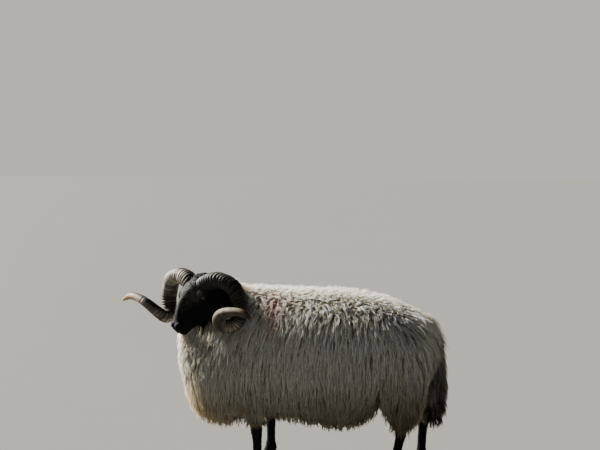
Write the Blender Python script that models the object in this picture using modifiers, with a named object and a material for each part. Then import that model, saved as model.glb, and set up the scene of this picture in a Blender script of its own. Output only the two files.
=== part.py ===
"""A long-fleeced, black-faced hill ram with spiral horns, standing with its head turned to its left.

Run with: blender --background --python part.py

Metres. The nose points towards -X, the animal's left side faces -Y, and +Z is up.
The soles stand at Z = 0. X and Y are measured from the centre of the whole model's box.
Every solid reaches out to the tips of the fleece or hair that covers it.
"""

import math

import bmesh
import bpy
from mathutils import Matrix, Vector

# ---------------------------------------------------------------- driving sizes
GAP = 0.0003                # clearance between pieces that touch
BACK_HEIGHT = 0.765         # top of the fleece over the shoulders
BELLY_HEIGHT = 0.230        # lowest fleece under the belly
CHEST_X = -0.533            # front of the brisket fleece
RUMP_X = 0.480              # back of the rump fleece
BARREL_HALF_WIDTH = 0.262   # fleece at its widest, behind the ribs

# head carriage
HEAD_CENTRE = Vector((-0.432, -0.153, 0.805))   # between the two horn roots
HEAD_YAW = math.radians(58.0)                   # turned from straight ahead to the left
HEAD_PITCH = math.radians(50.0)                 # face line below the level
HORN_ROOT_SPREAD = 0.056                        # horn root centre from the head's middle plane
HORN_CLEARANCE = 0.0009                         # round the ridged horn roots

# legs: knee or hock over the foot, as (x of the joint, x of the fetlock, side, is it a hind leg)
STANCE_HALF_WIDTH = 0.112
FORE_LEFT_X, FORE_RIGHT_X = -0.201, -0.192
HIND_LEFT_X, HIND_RIGHT_X = 0.368, 0.428
HIND_LEFT_REACH, HIND_RIGHT_REACH = 0.044, 0.010    # how far the fetlock stands before the hock
THIGH_X = 0.352             # middle of both thighs
KNEE_HEIGHT, HOCK_HEIGHT = 0.250, 0.300
FETLOCK_HEIGHT, CORONET_HEIGHT = 0.088, 0.044
FORE_HEM, HIND_HEM = 0.234, 0.246   # where the legs leave the fleece
CLAW_LENGTH, CLAW_WIDTH = 0.068, 0.029

LEFT, RIGHT = -1, 1         # the sign of Y on each side
UP = Vector((0, 0, 1))


# ---------------------------------------------------------------- helpers
def clear_scene():
    for obj in list(bpy.data.objects):
        bpy.data.objects.remove(obj, do_unlink=True)


def collection(name):
    made = bpy.data.collections.new(name)
    bpy.context.scene.collection.children.link(made)
    return made


def material(name, colour, roughness):
    made = bpy.data.materials.new(name)
    made.use_nodes = True
    shader = made.node_tree.nodes["Principled BSDF"]
    shader.inputs["Base Color"].default_value = (*colour, 1)
    shader.inputs["Roughness"].default_value = roughness
    shader.inputs["Metallic"].default_value = 0
    return made


def curve_through(knots, steps):
    """Points of a smooth curve through the knots, which may carry sizes after their place."""
    count = len(knots)
    points = []
    for i in range(count - 1):
        before, start = knots[max(i - 1, 0)], knots[i]
        end, after = knots[i + 1], knots[min(i + 2, count - 1)]
        for step in range(steps):
            t = step / steps
            points.append(tuple(
                0.5 * (2 * b + (c - a) * t + (2 * a - 5 * b + 4 * c - d) * t * t
                       + (3 * b - a - 3 * c + d) * t ** 3)
                for a, b, c, d in zip(before, start, end, after)))
    points.append(tuple(knots[-1]))
    return points


def oval(centre, across, upward, half_width, top, bottom, sides, squareness=2.0, jaw=1.0, crown=1.0):
    """A ring round centre. It may narrow downwards, by the factor jaw, and upwards, by crown."""
    ring = []
    for k in range(sides):
        angle = 2 * math.pi * k / sides
        c, s = math.cos(angle), math.sin(angle)
        wide = math.copysign(abs(c) ** (2 / squareness), c)
        high = math.copysign(abs(s) ** (2 / squareness), s)
        narrow = 1 - (1 - jaw) * max(0.0, -high) - (1 - crown) * max(0.0, high)
        ring.append(centre + across * (half_width * wide * narrow)
                    + upward * ((top if high > 0 else bottom) * high))
    return ring


def loft(name, rings):
    """A closed solid through rings of as many points each."""
    shape = bmesh.new()
    loops = [[shape.verts.new(point) for point in ring] for ring in rings]
    for a, b in zip(loops, loops[1:]):
        for k in range(len(a)):
            after = (k + 1) % len(a)
            shape.faces.new((a[k], a[after], b[after]))
            shape.faces.new((a[k], b[after], b[k]))
    shape.faces.new(reversed(loops[0]))
    shape.faces.new(loops[-1])
    bmesh.ops.recalc_face_normals(shape, faces=shape.faces)
    return solid(name, shape)


def lengthened(rings, by):
    """The rings with both ends moved outwards, so that a cutter also clears the end faces."""
    rings = [list(ring) for ring in rings]
    for end, beside in ((0, 1), (-1, -2)):
        step = sum(rings[end], Vector()) / len(rings[end]) - sum(rings[beside], Vector()) / len(rings[beside])
        rings[end] = [point + step.normalized() * by for point in rings[end]]
    return rings


def solid(name, shape):
    mesh = bpy.data.meshes.new(name)
    shape.to_mesh(mesh)
    shape.free()
    obj = bpy.data.objects.new(name, mesh)
    HELPERS.objects.link(obj)
    return obj


def ball(name, centre, radii, turn=None, segments=24):
    shape = bmesh.new()
    bmesh.ops.create_uvsphere(shape, u_segments=segments, v_segments=segments // 2, radius=1)
    place = Matrix.Translation(centre) @ (turn or Matrix.Identity(3)).to_4x4() @ Matrix.Diagonal((*radii, 1))
    bmesh.ops.transform(shape, matrix=place, verts=shape.verts)
    return solid(name, shape)


def evaluated(obj, name):
    """A new object holding obj's mesh with its modifiers applied, in place of obj."""
    graph = bpy.context.evaluated_depsgraph_get()
    graph.update()
    mesh = bpy.data.meshes.new_from_object(obj.evaluated_get(graph))
    bpy.data.objects.remove(obj)
    made = bpy.data.objects.new(name, mesh)
    HELPERS.objects.link(made)
    return made


def fused(name, shapes, voxel, rounds, triangles):
    """One smooth skin round overlapping shapes, thinned to about that many triangles."""
    whole = bmesh.new()
    for part in shapes:
        whole.from_mesh(part.data)
        bpy.data.objects.remove(part)
    obj = solid(name, whole)
    remesh = obj.modifiers.new("skin", "REMESH")
    remesh.mode, remesh.voxel_size = "VOXEL", voxel
    smooth = obj.modifiers.new("smooth", "SMOOTH")
    smooth.factor, smooth.iterations = 0.5, rounds
    obj = evaluated(obj, name)
    count = sum(len(face.vertices) - 2 for face in obj.data.polygons)
    thin = obj.modifiers.new("thin", "DECIMATE")
    thin.ratio = min(1.0, triangles / count)
    return evaluated(obj, name)


def grown(obj, by):
    """A copy of obj pushed out along its normals."""
    copy = bpy.data.objects.new(obj.name + "_grown", obj.data.copy())
    HELPERS.objects.link(copy)
    push = copy.modifiers.new("grow", "DISPLACE")
    push.strength, push.mid_level = by, 0
    return evaluated(copy, obj.name + "_grown")


def combined(obj, other, operation):
    """obj with one Boolean applied, keeping only its largest body."""
    name = obj.name
    change = obj.modifiers.new(operation.lower(), "BOOLEAN")
    change.operation, change.object, change.solver = operation, other, "EXACT"
    return largest_body(evaluated(obj, name))


def copied(obj, name):
    copy = bpy.data.objects.new(name, obj.data.copy())
    HELPERS.objects.link(copy)
    return copy


def largest_body(obj):
    """Drops the crumbs that a cut may leave beside the main body."""
    shape = bmesh.new()
    shape.from_mesh(obj.data)
    bmesh.ops.remove_doubles(shape, verts=shape.verts, dist=1e-6)
    left, bodies = set(shape.verts), []
    while left:
        seed = left.pop()
        body, edge = {seed}, [seed]
        while edge:
            for link in edge.pop().link_edges:
                for vert in link.verts:
                    if vert in left:
                        left.discard(vert)
                        body.add(vert)
                        edge.append(vert)
        bodies.append(body)
    bodies.sort(key=len)
    crumbs = [vert for body in bodies[:-1] for vert in body]
    bmesh.ops.delete(shape, geom=crumbs, context="VERTS")
    shape.to_mesh(obj.data)
    shape.free()
    return obj


def half_space(name, point, normal):
    """A large block on the side of the plane that its normal points to."""
    size = 4.0
    shape = bmesh.new()
    bmesh.ops.create_cube(shape, size=size)
    turn = normal.to_track_quat("Z", "Y").to_matrix().to_4x4()
    place = Matrix.Translation(point + normal * (size / 2)) @ turn
    bmesh.ops.transform(shape, matrix=place, verts=shape.verts)
    return solid(name, shape)


def finish(obj, name, finish_material, angle=math.radians(50)):
    """Makes obj a node of the model."""
    obj.name = name
    obj.data.name = name
    HELPERS.objects.unlink(obj)
    RAM.objects.link(obj)
    obj.data.materials.clear()
    obj.data.materials.append(finish_material)
    obj.data.shade_smooth()
    obj.data.set_sharp_from_angle(angle=angle)
    return obj


# ---------------------------------------------------------------- the head's own frame
def head_axes():
    """(along the face to the nose, out of the forehead, to the animal's left)"""
    ahead = Vector((-math.cos(HEAD_YAW), -math.sin(HEAD_YAW), 0))
    along = ahead * math.cos(HEAD_PITCH) - UP * math.sin(HEAD_PITCH)
    out = ahead * math.sin(HEAD_PITCH) + UP * math.cos(HEAD_PITCH)
    return along, out, UP.cross(ahead)


FACE, BROW, LEFTWARD = head_axes()
AHEAD = Vector((-math.cos(HEAD_YAW), -math.sin(HEAD_YAW), 0))


def on_head(along, out, left):
    return HEAD_CENTRE + FACE * along + BROW * out + LEFTWARD * left


# ---------------------------------------------------------------- fleece: trunk, neck and upper legs
def trunk_shape():
    """(x, lowest, highest, half width, narrowing to the top) of the fleece from the brisket to the rump"""
    stations = [
        (CHEST_X, 0.465, 0.600, 0.055, 0.90),
        (-0.510, 0.370, 0.665, 0.120, 0.75),
        (-0.450, 0.272, 0.715, 0.168, 0.58),
        (-0.375, 0.218, 0.750, 0.200, 0.56),
        (-0.290, 0.232, 0.764, 0.218, 0.68),
        (-0.180, 0.256, BACK_HEIGHT, 0.234, 0.84),
        (-0.080, 0.256, 0.760, 0.248, 0.94),
        (0.010, 0.243, 0.757, 0.258, 0.98),
        (0.100, BELLY_HEIGHT, 0.760, BARREL_HALF_WIDTH, 1.0),
        (0.175, 0.240, 0.753, 0.262, 1.0),
        (0.240, 0.292, 0.743, 0.259, 1.0),
        (0.320, 0.335, 0.720, 0.250, 1.0),
        (0.400, 0.365, 0.680, 0.222, 0.98),
        (0.450, 0.400, 0.640, 0.175, 0.95),
        (RUMP_X, 0.440, 0.575, 0.100, 0.95),
    ]
    rings = []
    for x, low, high, half_width, crown in curve_through(stations, 3):
        middle = low + 0.46 * (high - low)
        rings.append(oval(Vector((x, 0, middle)), Vector((0, 1, 0)), UP,
                          half_width, high - middle, middle - low, 32, 2.25, 0.92, crown))
    return loft("trunk_shape", rings)


def neck_shape():
    """(x, y, z, half width, half depth) of the ruff, from the shoulders to behind the horns"""
    stations = [
        (-0.230, 0.000, 0.560, 0.130, 0.190),
        (-0.310, -0.004, 0.602, 0.122, 0.168),
        (-0.355, -0.022, 0.645, 0.104, 0.142),
        (-0.378, -0.046, 0.692, 0.092, 0.112),
        (-0.386, -0.064, 0.728, 0.086, 0.094),
    ]
    points = curve_through(stations, 3)
    rings = []
    for i, (x, y, z, half_width, half_depth) in enumerate(points):
        here = Vector((x, y, z))
        before, after = Vector(points[max(i - 1, 0)][:3]), Vector(points[min(i + 1, len(points) - 1)][:3])
        direction = (after - before).normalized()
        across = UP.cross(direction).normalized()
        rings.append(oval(here, across, direction.cross(across), half_width, half_depth, half_depth, 28))
    return loft("neck_shape", rings)


def nape_shape():
    """The wool that rises from the withers to the back of the horns."""
    turn = Matrix.Rotation(math.radians(35), 3, "Z")
    return ball("nape_shape", Vector((-0.346, -0.056, 0.724)), (0.120, 0.080, 0.078), turn)


def upper_leg_shape(x, side, hind):
    """(x, y, z, half length, half width) of a shoulder or thigh down to the fleece's hem"""
    y = side * STANCE_HALF_WIDTH
    if hind:
        stations = [
            (THIGH_X, side * 0.130, 0.560, 0.110, 0.090),
            (THIGH_X, side * 0.140, 0.450, 0.112, 0.095),
            (0.5 * x + 0.5 * THIGH_X, side * 0.135, 0.360, 0.088, 0.078),
            (x - 0.006, y, 0.295, 0.058, 0.056),
            (x - 0.010, y, HIND_HEM, 0.034, 0.036),
        ]
    else:
        stations = [
            (x - 0.020, side * 0.120, 0.520, 0.100, 0.080),
            (x - 0.010, side * 0.125, 0.400, 0.082, 0.075),
            (x, side * 0.120, 0.320, 0.060, 0.060),
            (x, y, FORE_HEM, 0.036, 0.040),
        ]
    rings = [oval(Vector((a, b, c)), Vector((1, 0, 0)), Vector((0, 1, 0)), long, wide, wide, 20)
             for a, b, c, long, wide in curve_through(stations, 3)]
    return loft("upper_leg_shape", rings)


def leg_region(x, side, hind):
    """What is cut out of the fleece as one upper leg: an egg that opens at the side and below."""
    long, tall = (0.150, 0.230) if hind else (0.110, 0.190)
    centre = Vector((x - (0.010 if hind else 0.005), side * 0.200, 0.270))
    return ball("leg_region", centre, (long, 0.165, tall), segments=16)


# ---------------------------------------------------------------- tail
def tail_rings(extra=0.0):
    """(x, z, half width, half thickness) down the woolly tail"""
    stations = [
        (0.404, 0.622, 0.040, 0.032),
        (0.444, 0.584, 0.047, 0.039),
        (0.472, 0.512, 0.052, 0.041),
        (0.484, 0.410, 0.054, 0.042),
        (0.482, 0.320, 0.050, 0.040),
        (0.470, 0.258, 0.036, 0.030),
        (0.464, 0.236, 0.018, 0.014),
    ]
    points = curve_through(stations, 2)
    rings = []
    for i, (x, z, half_width, half_depth) in enumerate(points):
        before, after = points[max(i - 1, 0)], points[min(i + 1, len(points) - 1)]
        direction = Vector((after[0] - before[0], 0, after[1] - before[1])).normalized()
        across = Vector((0, 1, 0))
        rings.append(oval(Vector((x, 0, z)), across, direction.cross(across),
                          half_width + extra, half_depth + extra, half_depth + extra, 12))
    return rings


# ---------------------------------------------------------------- bare legs and claws
def lower_leg_rings(x, reach, side, hind, extra=0.0):
    """(x, z, half length, half width) from inside the fleece down to the coronet"""
    y = side * STANCE_HALF_WIDTH
    if hind:
        stations = [
            (x - 0.020, HOCK_HEIGHT + 0.060, 0.034, 0.025),
            (x - 0.006, HOCK_HEIGHT + 0.020, 0.031, 0.023),
            (x + 0.002, HOCK_HEIGHT - 0.012, 0.029, 0.022),
            (x - 0.12 * reach, HOCK_HEIGHT - 0.050, 0.022, 0.019),
            (x - 0.45 * reach, 0.185, 0.0180, 0.0165),
            (x - 0.80 * reach, 0.120, 0.0175, 0.0165),
            (x - reach, FETLOCK_HEIGHT, 0.0220, 0.0205),
            (x - reach - 0.012, 0.064, 0.0195, 0.0205),
            (x - reach - 0.020, CORONET_HEIGHT - 0.004, 0.0245, 0.0235),
        ]
    else:
        stations = [
            (x + 0.004, KNEE_HEIGHT + 0.080, 0.032, 0.028),
            (x + 0.001, KNEE_HEIGHT + 0.030, 0.028, 0.026),
            (x - 0.004, KNEE_HEIGHT, 0.027, 0.026),
            (x - 0.001, KNEE_HEIGHT - 0.035, 0.0235, 0.0215),
            (x + 0.002, 0.165, 0.0180, 0.0175),
            (x + 0.002, 0.120, 0.0175, 0.0175),
            (x, FETLOCK_HEIGHT, 0.0220, 0.0210),
            (x - 0.012, 0.064, 0.0195, 0.0210),
            (x - 0.020, CORONET_HEIGHT - 0.004, 0.0245, 0.0240),
        ]
    return [oval(Vector((a, y, c)), Vector((1, 0, 0)), Vector((0, 1, 0)),
                 long + extra, wide + extra, wide + extra, 12)
            for a, c, long, wide in stations]


def claw(name, x, y, splay):
    """One claw of a cloven foot: flat sole, steep toe, upright heel, rounded outer wall."""
    front, back = -0.62 * CLAW_LENGTH, 0.38 * CLAW_LENGTH
    half = CLAW_WIDTH / 2
    # (height, toe x, heel x, half width)
    levels = [
        (0.000, front, back, half),
        (0.006, front, back + 0.002, half + 0.0008),
        (0.022, front + 0.012, back + 0.003, half),
        (CORONET_HEIGHT - 0.006, front + 0.026, back + 0.001, half - 0.002),
    ]
    turn = Matrix.Rotation(splay, 3, "Z")
    rings = []
    for height, toe, heel, wide in levels:
        long, middle = (heel - toe) / 2, (heel + toe) / 2
        ring = oval(Vector((middle, 0, height)), Vector((1, 0, 0)), Vector((0, 1, 0)), long, wide, wide, 12, 2.5)
        for point in ring:
            slim = 1 - 0.45 * max(0.0, (middle - point.x) / long) ** 1.5
            point.y *= slim
        rings.append([turn @ point + Vector((x, y, 0)) for point in ring])
    return loft(name, rings)


# ---------------------------------------------------------------- head, ears and eyes
def head_shape():
    """(along, forehead line, jaw line, half width, narrowing to the jaw, to the top) from poll to lips"""
    stations = [
        (-0.064, -0.078, -0.124, 0.032, 0.95, 0.95),
        (-0.048, -0.042, -0.148, 0.052, 0.92, 0.90),
        (-0.022, -0.010, -0.166, 0.063, 0.88, 0.90),
        (0.020, 0.006, -0.176, 0.066, 0.80, 0.90),
        (0.058, 0.012, -0.170, 0.058, 0.76, 0.80),
        (0.095, 0.011, -0.151, 0.046, 0.80, 0.62),
        (0.130, 0.004, -0.128, 0.039, 0.82, 0.60),
        (0.162, -0.009, -0.107, 0.034, 0.88, 0.64),
        (0.190, -0.023, -0.093, 0.028, 0.92, 0.75),
        (0.206, -0.037, -0.078, 0.018, 0.95, 0.90),
    ]
    rings = []
    for along, top, bottom, half_width, jaw, crown in curve_through(stations, 3):
        middle = top + 0.45 * (bottom - top)
        rings.append(oval(on_head(along, middle, 0), LEFTWARD, BROW, half_width,
                          top - middle, middle - bottom, 28, 2.5, jaw, crown))
    shapes = [loft("skull", rings)]
    turn = Matrix((LEFTWARD, FACE, BROW)).transposed()
    for side in (1, -1):
        shapes += [
            ball("brow", on_head(0.054, -0.028, side * 0.045), (0.0185, 0.033, 0.0230), turn),
            ball("cheek", on_head(0.038, -0.110, side * 0.037), (0.025, 0.056, 0.050), turn),
            ball("nostril_wing", on_head(0.189, -0.034, side * 0.012), (0.0135, 0.019, 0.013), turn),
            ball("upper_lip", on_head(0.186, -0.062, side * 0.011), (0.017, 0.023, 0.017), turn),
        ]
    shapes.append(ball("chin", on_head(0.174, -0.088, 0), (0.020, 0.030, 0.015), turn))
    return fused("head", shapes, 0.0045, 3, 900)


EYE_RADIUS = 0.0150


def eye_centre(side):
    return on_head(0.058, -0.038, side * 0.0510)


def ear_rings(side, extra=0.0):
    """(outward, backward, upward, half width, half thickness) from the ear's root to its tip"""
    stations = [
        (0.000, 0.000, 0.000, 0.014, 0.0090),
        (0.020, 0.012, -0.006, 0.021, 0.0085),
        (0.044, 0.024, -0.020, 0.026, 0.0065),
        (0.068, 0.034, -0.037, 0.023, 0.0050),
        (0.088, 0.040, -0.053, 0.014, 0.0040),
        (0.099, 0.042, -0.063, 0.004, 0.0030),
    ]
    root = on_head(0.012, -0.074, side * 0.052)
    outward, backward = LEFTWARD * side, -AHEAD
    rings = []
    for out, back, high, half_width, half_thick in curve_through(stations, 2):
        centre = root + outward * out + backward * back + UP * high
        rings.append(oval(centre, (UP + backward * 0.35).normalized(), (backward - UP * 0.35).normalized(),
                          half_width + extra, half_thick + extra, half_thick + extra, 8))
    return rings


# ---------------------------------------------------------------- horns
# (outward, forward, up, half depth in the coil's plane, half thickness) from the root to the tip
HORN_KNOTS = [
    (-0.034, -0.012, -0.038, 0.031, 0.028),
    (-0.002, -0.016, -0.014, 0.036, 0.031),
    (0.050, -0.024, 0.000, 0.036, 0.029),
    (0.114, -0.037, -0.024, 0.033, 0.028),
    (0.145, -0.047, -0.084, 0.031, 0.027),
    (0.143, -0.044, -0.130, 0.029, 0.026),
    (0.133, -0.033, -0.157, 0.028, 0.025),
    (0.118, -0.013, -0.167, 0.0265, 0.0240),
    (0.111, 0.016, -0.162, 0.0255, 0.0225),
    (0.122, 0.046, -0.137, 0.0235, 0.0210),
    (0.155, 0.063, -0.110, 0.0215, 0.0190),
    (0.200, 0.063, -0.096, 0.0185, 0.0165),
    (0.254, 0.060, -0.093, 0.0145, 0.0130),
    (0.301, 0.060, -0.112, 0.0060, 0.0055),
]
HORN_SIDES = 10
RIDGES = 10                 # yearly rings and the wrinkles between them
RIDGE_DEPTH = 0.060         # as a share of the horn's thickness


def horn_rings(side, extra=0.0):
    points = curve_through(HORN_KNOTS, 3)
    count = len(points) - 1
    root = HEAD_CENTRE + LEFTWARD * (side * HORN_ROOT_SPREAD)
    places = [root + LEFTWARD * (side * p[0]) + AHEAD * p[1] + UP * p[2] for p in points]
    rings = []
    deep = AHEAD            # the wide way of the section, carried along the horn without twisting it
    for i, (place, point) in enumerate(zip(places, points)):
        along = (places[min(i + 1, count)] - places[max(i - 1, 0)]).normalized()
        deep = (deep - along * along.dot(deep)).normalized()
        wave = math.cos(2 * math.pi * RIDGES * i / count)
        swell = 1 + RIDGE_DEPTH * (1 - i / count) * wave
        rings.append(oval(place, deep, along.cross(deep), point[3] * swell + extra,
                          point[4] * swell + extra, point[4] * swell + extra, HORN_SIDES, 2.3))
    return rings


# ---------------------------------------------------------------- the whole ram
def build():
    fleece_finish = material("fleece", (0.62, 0.58, 0.50), 0.90)
    hair_finish = material("black_hair", (0.025, 0.023, 0.024), 0.75)
    horn_finish = material("horn", (0.30, 0.26, 0.20), 0.60)
    hoof_finish = material("hoof", (0.060, 0.052, 0.045), 0.50)
    eye_finish = material("eye", (0.060, 0.035, 0.015), 0.10)

    legs = [
        ("foreleg_left", FORE_LEFT_X, 0.0, LEFT, False),
        ("foreleg_right", FORE_RIGHT_X, 0.0, RIGHT, False),
        ("hindleg_left", HIND_LEFT_X, HIND_LEFT_REACH, LEFT, True),
        ("hindleg_right", HIND_RIGHT_X, HIND_RIGHT_REACH, RIGHT, True),
    ]

    head = head_shape()
    fleece = fused("fleece", [trunk_shape(), neck_shape(), nape_shape()]
                   + [upper_leg_shape(x, side, hind) for _, x, _, side, hind in legs], 0.012, 6, 1200)

    # pieces that press into the fleece or the head
    for side in (1, -1):
        for rings in (horn_rings(side, HORN_CLEARANCE), ear_rings(side, 2 * GAP)):
            cutter = loft("cutter", lengthened(rings, HORN_CLEARANCE))
            fleece = combined(fleece, cutter, "DIFFERENCE")
            head = combined(head, cutter, "DIFFERENCE")
        head = combined(head, ball("socket", eye_centre(side), (EYE_RADIUS + GAP,) * 3, segments=12), "DIFFERENCE")
    fleece = combined(fleece, grown(head, 3 * GAP), "DIFFERENCE")
    fleece = combined(fleece, loft("tail_cutter", lengthened(tail_rings(2 * GAP), 2 * GAP)), "DIFFERENCE")
    for _, x, reach, side, hind in legs:
        rings = lengthened(lower_leg_rings(x, reach, side, hind, 2 * GAP), 2 * GAP)
        fleece = combined(fleece, loft("leg_cutter", rings), "DIFFERENCE")

    # the fleece parted into upper legs, neck and trunk
    for name, x, reach, side, hind in legs:
        region = leg_region(x, side, hind)
        upper = combined(copied(fleece, name), region, "INTERSECT")
        finish(upper, name + "_upper", fleece_finish)
        fleece = combined(fleece, grown(region, GAP), "DIFFERENCE")
    neck_point, neck_direction = Vector((-0.330, 0, 0.650)), Vector((-0.74, -0.12, 0.66)).normalized()
    neck = combined(copied(fleece, "neck"), half_space("ahead", neck_point, neck_direction), "INTERSECT")
    trunk = combined(fleece, half_space("behind", neck_point - neck_direction * GAP, -neck_direction), "INTERSECT")
    finish(neck, "neck", fleece_finish)
    finish(trunk, "trunk", fleece_finish)
    finish(loft("tail", tail_rings()), "tail", fleece_finish)

    finish(head, "head", hair_finish)
    for side, word in ((1, "left"), (-1, "right")):
        finish(loft("horn", horn_rings(side)), "horn_" + word, horn_finish)
        cutter = loft("cutter", lengthened(horn_rings(side, HORN_CLEARANCE), HORN_CLEARANCE))
        ear = combined(loft("ear", ear_rings(side)), cutter, "DIFFERENCE")
        finish(ear, "ear_" + word, hair_finish)
        finish(ball("eye", eye_centre(side), (EYE_RADIUS,) * 3, segments=12), "eye_" + word, eye_finish)

    for name, x, reach, side, hind in legs:
        leg = loft("leg", lower_leg_rings(x, reach, side, hind))
        foot_x = x - reach - 0.022
        for offset, word in ((-1, "outer" if side == LEFT else "inner"), (1, "inner" if side == LEFT else "outer")):
            y = side * STANCE_HALF_WIDTH + offset * (CLAW_WIDTH / 2 + 0.0012)
            claw_name = name.replace("leg", "hoof") + "_" + word
            leg = combined(leg, grown(claw("cutter", foot_x, y, 0.06 * offset), 2 * GAP), "DIFFERENCE")
            finish(claw("claw", foot_x, y, 0.06 * offset), claw_name, hoof_finish)
        finish(leg, name + "_lower", hair_finish)


def centre_model():
    """Moves the model so that X and Y start at the centre of its box."""
    points = [vert.co for obj in RAM.objects for vert in obj.data.vertices]
    shift = Vector((-(min(p.x for p in points) + max(p.x for p in points)) / 2,
                    -(min(p.y for p in points) + max(p.y for p in points)) / 2, 0))
    for mesh in {obj.data for obj in RAM.objects}:
        mesh.transform(Matrix.Translation(shift))
    return shift


clear_scene()
RAM = collection("black_faced_ram")
HELPERS = collection("shaping")
HELPERS.hide_render = True
build()
for helper in list(HELPERS.objects):
    bpy.data.objects.remove(helper)
SHIFT = centre_model()
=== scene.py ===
import logging
import math
from dataclasses import dataclass
from enum import Enum
from typing import Callable

import bmesh
import bpy
import numpy as np
from bmesh.types import BMEdge, BMesh, BMFace, BMVert
from bpy.types import Material, Mesh, Node, NodeSocket, NodeTree, Object
from mathutils import Matrix, Vector
from mathutils.bvhtree import BVHTree


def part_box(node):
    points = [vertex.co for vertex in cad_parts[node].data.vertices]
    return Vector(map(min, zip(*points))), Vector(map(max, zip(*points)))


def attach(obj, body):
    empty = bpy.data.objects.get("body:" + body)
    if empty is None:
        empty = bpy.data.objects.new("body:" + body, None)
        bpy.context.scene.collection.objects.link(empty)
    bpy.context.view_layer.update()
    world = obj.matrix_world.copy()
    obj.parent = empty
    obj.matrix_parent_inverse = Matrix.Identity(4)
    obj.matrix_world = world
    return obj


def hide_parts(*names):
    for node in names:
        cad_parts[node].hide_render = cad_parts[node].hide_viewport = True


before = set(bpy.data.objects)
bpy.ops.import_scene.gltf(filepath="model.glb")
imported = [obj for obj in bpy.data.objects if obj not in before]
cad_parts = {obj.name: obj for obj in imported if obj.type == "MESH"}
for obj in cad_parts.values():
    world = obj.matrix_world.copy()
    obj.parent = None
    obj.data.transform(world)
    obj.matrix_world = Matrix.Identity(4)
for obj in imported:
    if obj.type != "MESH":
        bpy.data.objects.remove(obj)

Triple = tuple[float, float, float]

LOG = logging.getLogger("ram")
UP = Vector((0.0, 0.0, 1.0))
BODY = "root"
MARKS = "marks"
GRAIN = "grain"
OUTER_REACH = 0.526     # from the ram's own zero to the back of its tail
EYE_RADIUS = 0.0150
MERGE = 1e-5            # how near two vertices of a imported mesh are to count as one
GRAIN_STRETCH = 0.16    # along the hair's fibres, so that they show longer than wide


# ---------------------------------------------------------------- bearings
def middle(node: str) -> Vector:
    """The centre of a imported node's box."""
    low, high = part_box(node)
    return (Vector(low) + Vector(high)) / 2


def own_zero() -> Vector:
    """Where the ram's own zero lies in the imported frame: on the floor, under its body."""
    low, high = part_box("tail")
    return Vector((high[0] - OUTER_REACH, (low[1] + high[1]) / 2, 0.0))


@dataclass(frozen=True)
class HeadBearing:
    """The head's own axes: down the face, out of the brow and to the ram's left."""

    centre: Vector
    face: Vector
    brow: Vector
    left: Vector
    ahead: Vector

    @classmethod
    def from_eyes(cls, pitch: float = math.radians(50.0)) -> "HeadBearing":
        """Finds the axes from the two packed eyes.

        Args:
            pitch: How far the face line drops below the level.

        Returns:
            The head's axes.
        """
        near, far = middle("eye_left"), middle("eye_right")
        left = (near - far).normalized()
        ahead = left.cross(UP)
        face = ahead * math.cos(pitch) - UP * math.sin(pitch)
        brow = ahead * math.sin(pitch) + UP * math.cos(pitch)
        centre = (near + far) / 2 - face * 0.058 + brow * 0.038
        return cls(centre, face, brow, left, ahead)

    def place(self, along: float, out: float, side: float) -> Vector:
        """A point given in the head's axes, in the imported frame."""
        return self.centre + self.face * along + self.brow * out + self.left * side

    def read(self, points: np.ndarray) -> np.ndarray:
        """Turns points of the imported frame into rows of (along, out, side) in the head's axes."""
        axes = np.array([self.face, self.brow, self.left])
        return (points - np.array(self.centre)) @ axes.T

    @staticmethod
    def greying(own: np.ndarray) -> np.ndarray:
        """How many grey hairs grow at each place: most on the brow and poll, some down the nose."""
        brow = ease(own[:, 0], 0.125, 0.020) * ease(own[:, 1], -0.060, -0.008)
        nose = ease(own[:, 0], 0.195, 0.120) * ease(own[:, 1], -0.034, -0.010)
        return np.clip(0.80 * brow + 0.24 * nose, 0, 0.85)


# ---------------------------------------------------------------- array helpers
def unit(rows: np.ndarray) -> np.ndarray:
    """Rows scaled to a length of one."""
    return rows / np.maximum(np.linalg.norm(rows, axis=-1, keepdims=True), 1e-9)


def ease(values: np.ndarray, start: float, end: float) -> np.ndarray:
    """A smooth step from 0 at start to 1 at end, either way round."""
    share = np.clip((values - start) / (end - start), 0.0, 1.0)
    return share * share * (3.0 - 2.0 * share)


def bell(distances: np.ndarray, width: float) -> np.ndarray:
    """A soft bump: 1 at no distance, and almost nothing beyond two widths."""
    return np.exp(-(distances / width) ** 2)


def averaged(values: np.ndarray, edges: np.ndarray) -> np.ndarray:
    """The mean of each vertex's neighbours.

    Args:
        values: One row or number for each vertex.
        edges: Pairs of vertex numbers.

    Returns:
        An array shaped as values.
    """
    flat = values.reshape(len(values), -1)
    first, second = edges[:, 0], edges[:, 1]
    count = np.maximum(np.bincount(edges.ravel(), minlength=len(flat)), 1)
    out = np.empty_like(flat)
    for column in range(flat.shape[1]):
        total = np.bincount(first, flat[second, column], len(flat))
        total += np.bincount(second, flat[first, column], len(flat))
        out[:, column] = total / count
    return out.reshape(values.shape)


def relaxed(points: np.ndarray, edges: np.ndarray, rounds: int, share: np.ndarray) -> np.ndarray:
    """Smooths a surface without shrinking it.

    Args:
        points: Vertex places.
        edges: Pairs of vertex numbers.
        rounds: Number of out and in strokes.
        share: How much each vertex takes part, from 0 to 1.

    Returns:
        The smoothed places.
    """
    weight = share[:, None]
    for _ in range(rounds):
        points = points + weight * 0.55 * (averaged(points, edges) - points)
        points = points - weight * 0.56 * (averaged(points, edges) - points)
    return points


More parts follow.
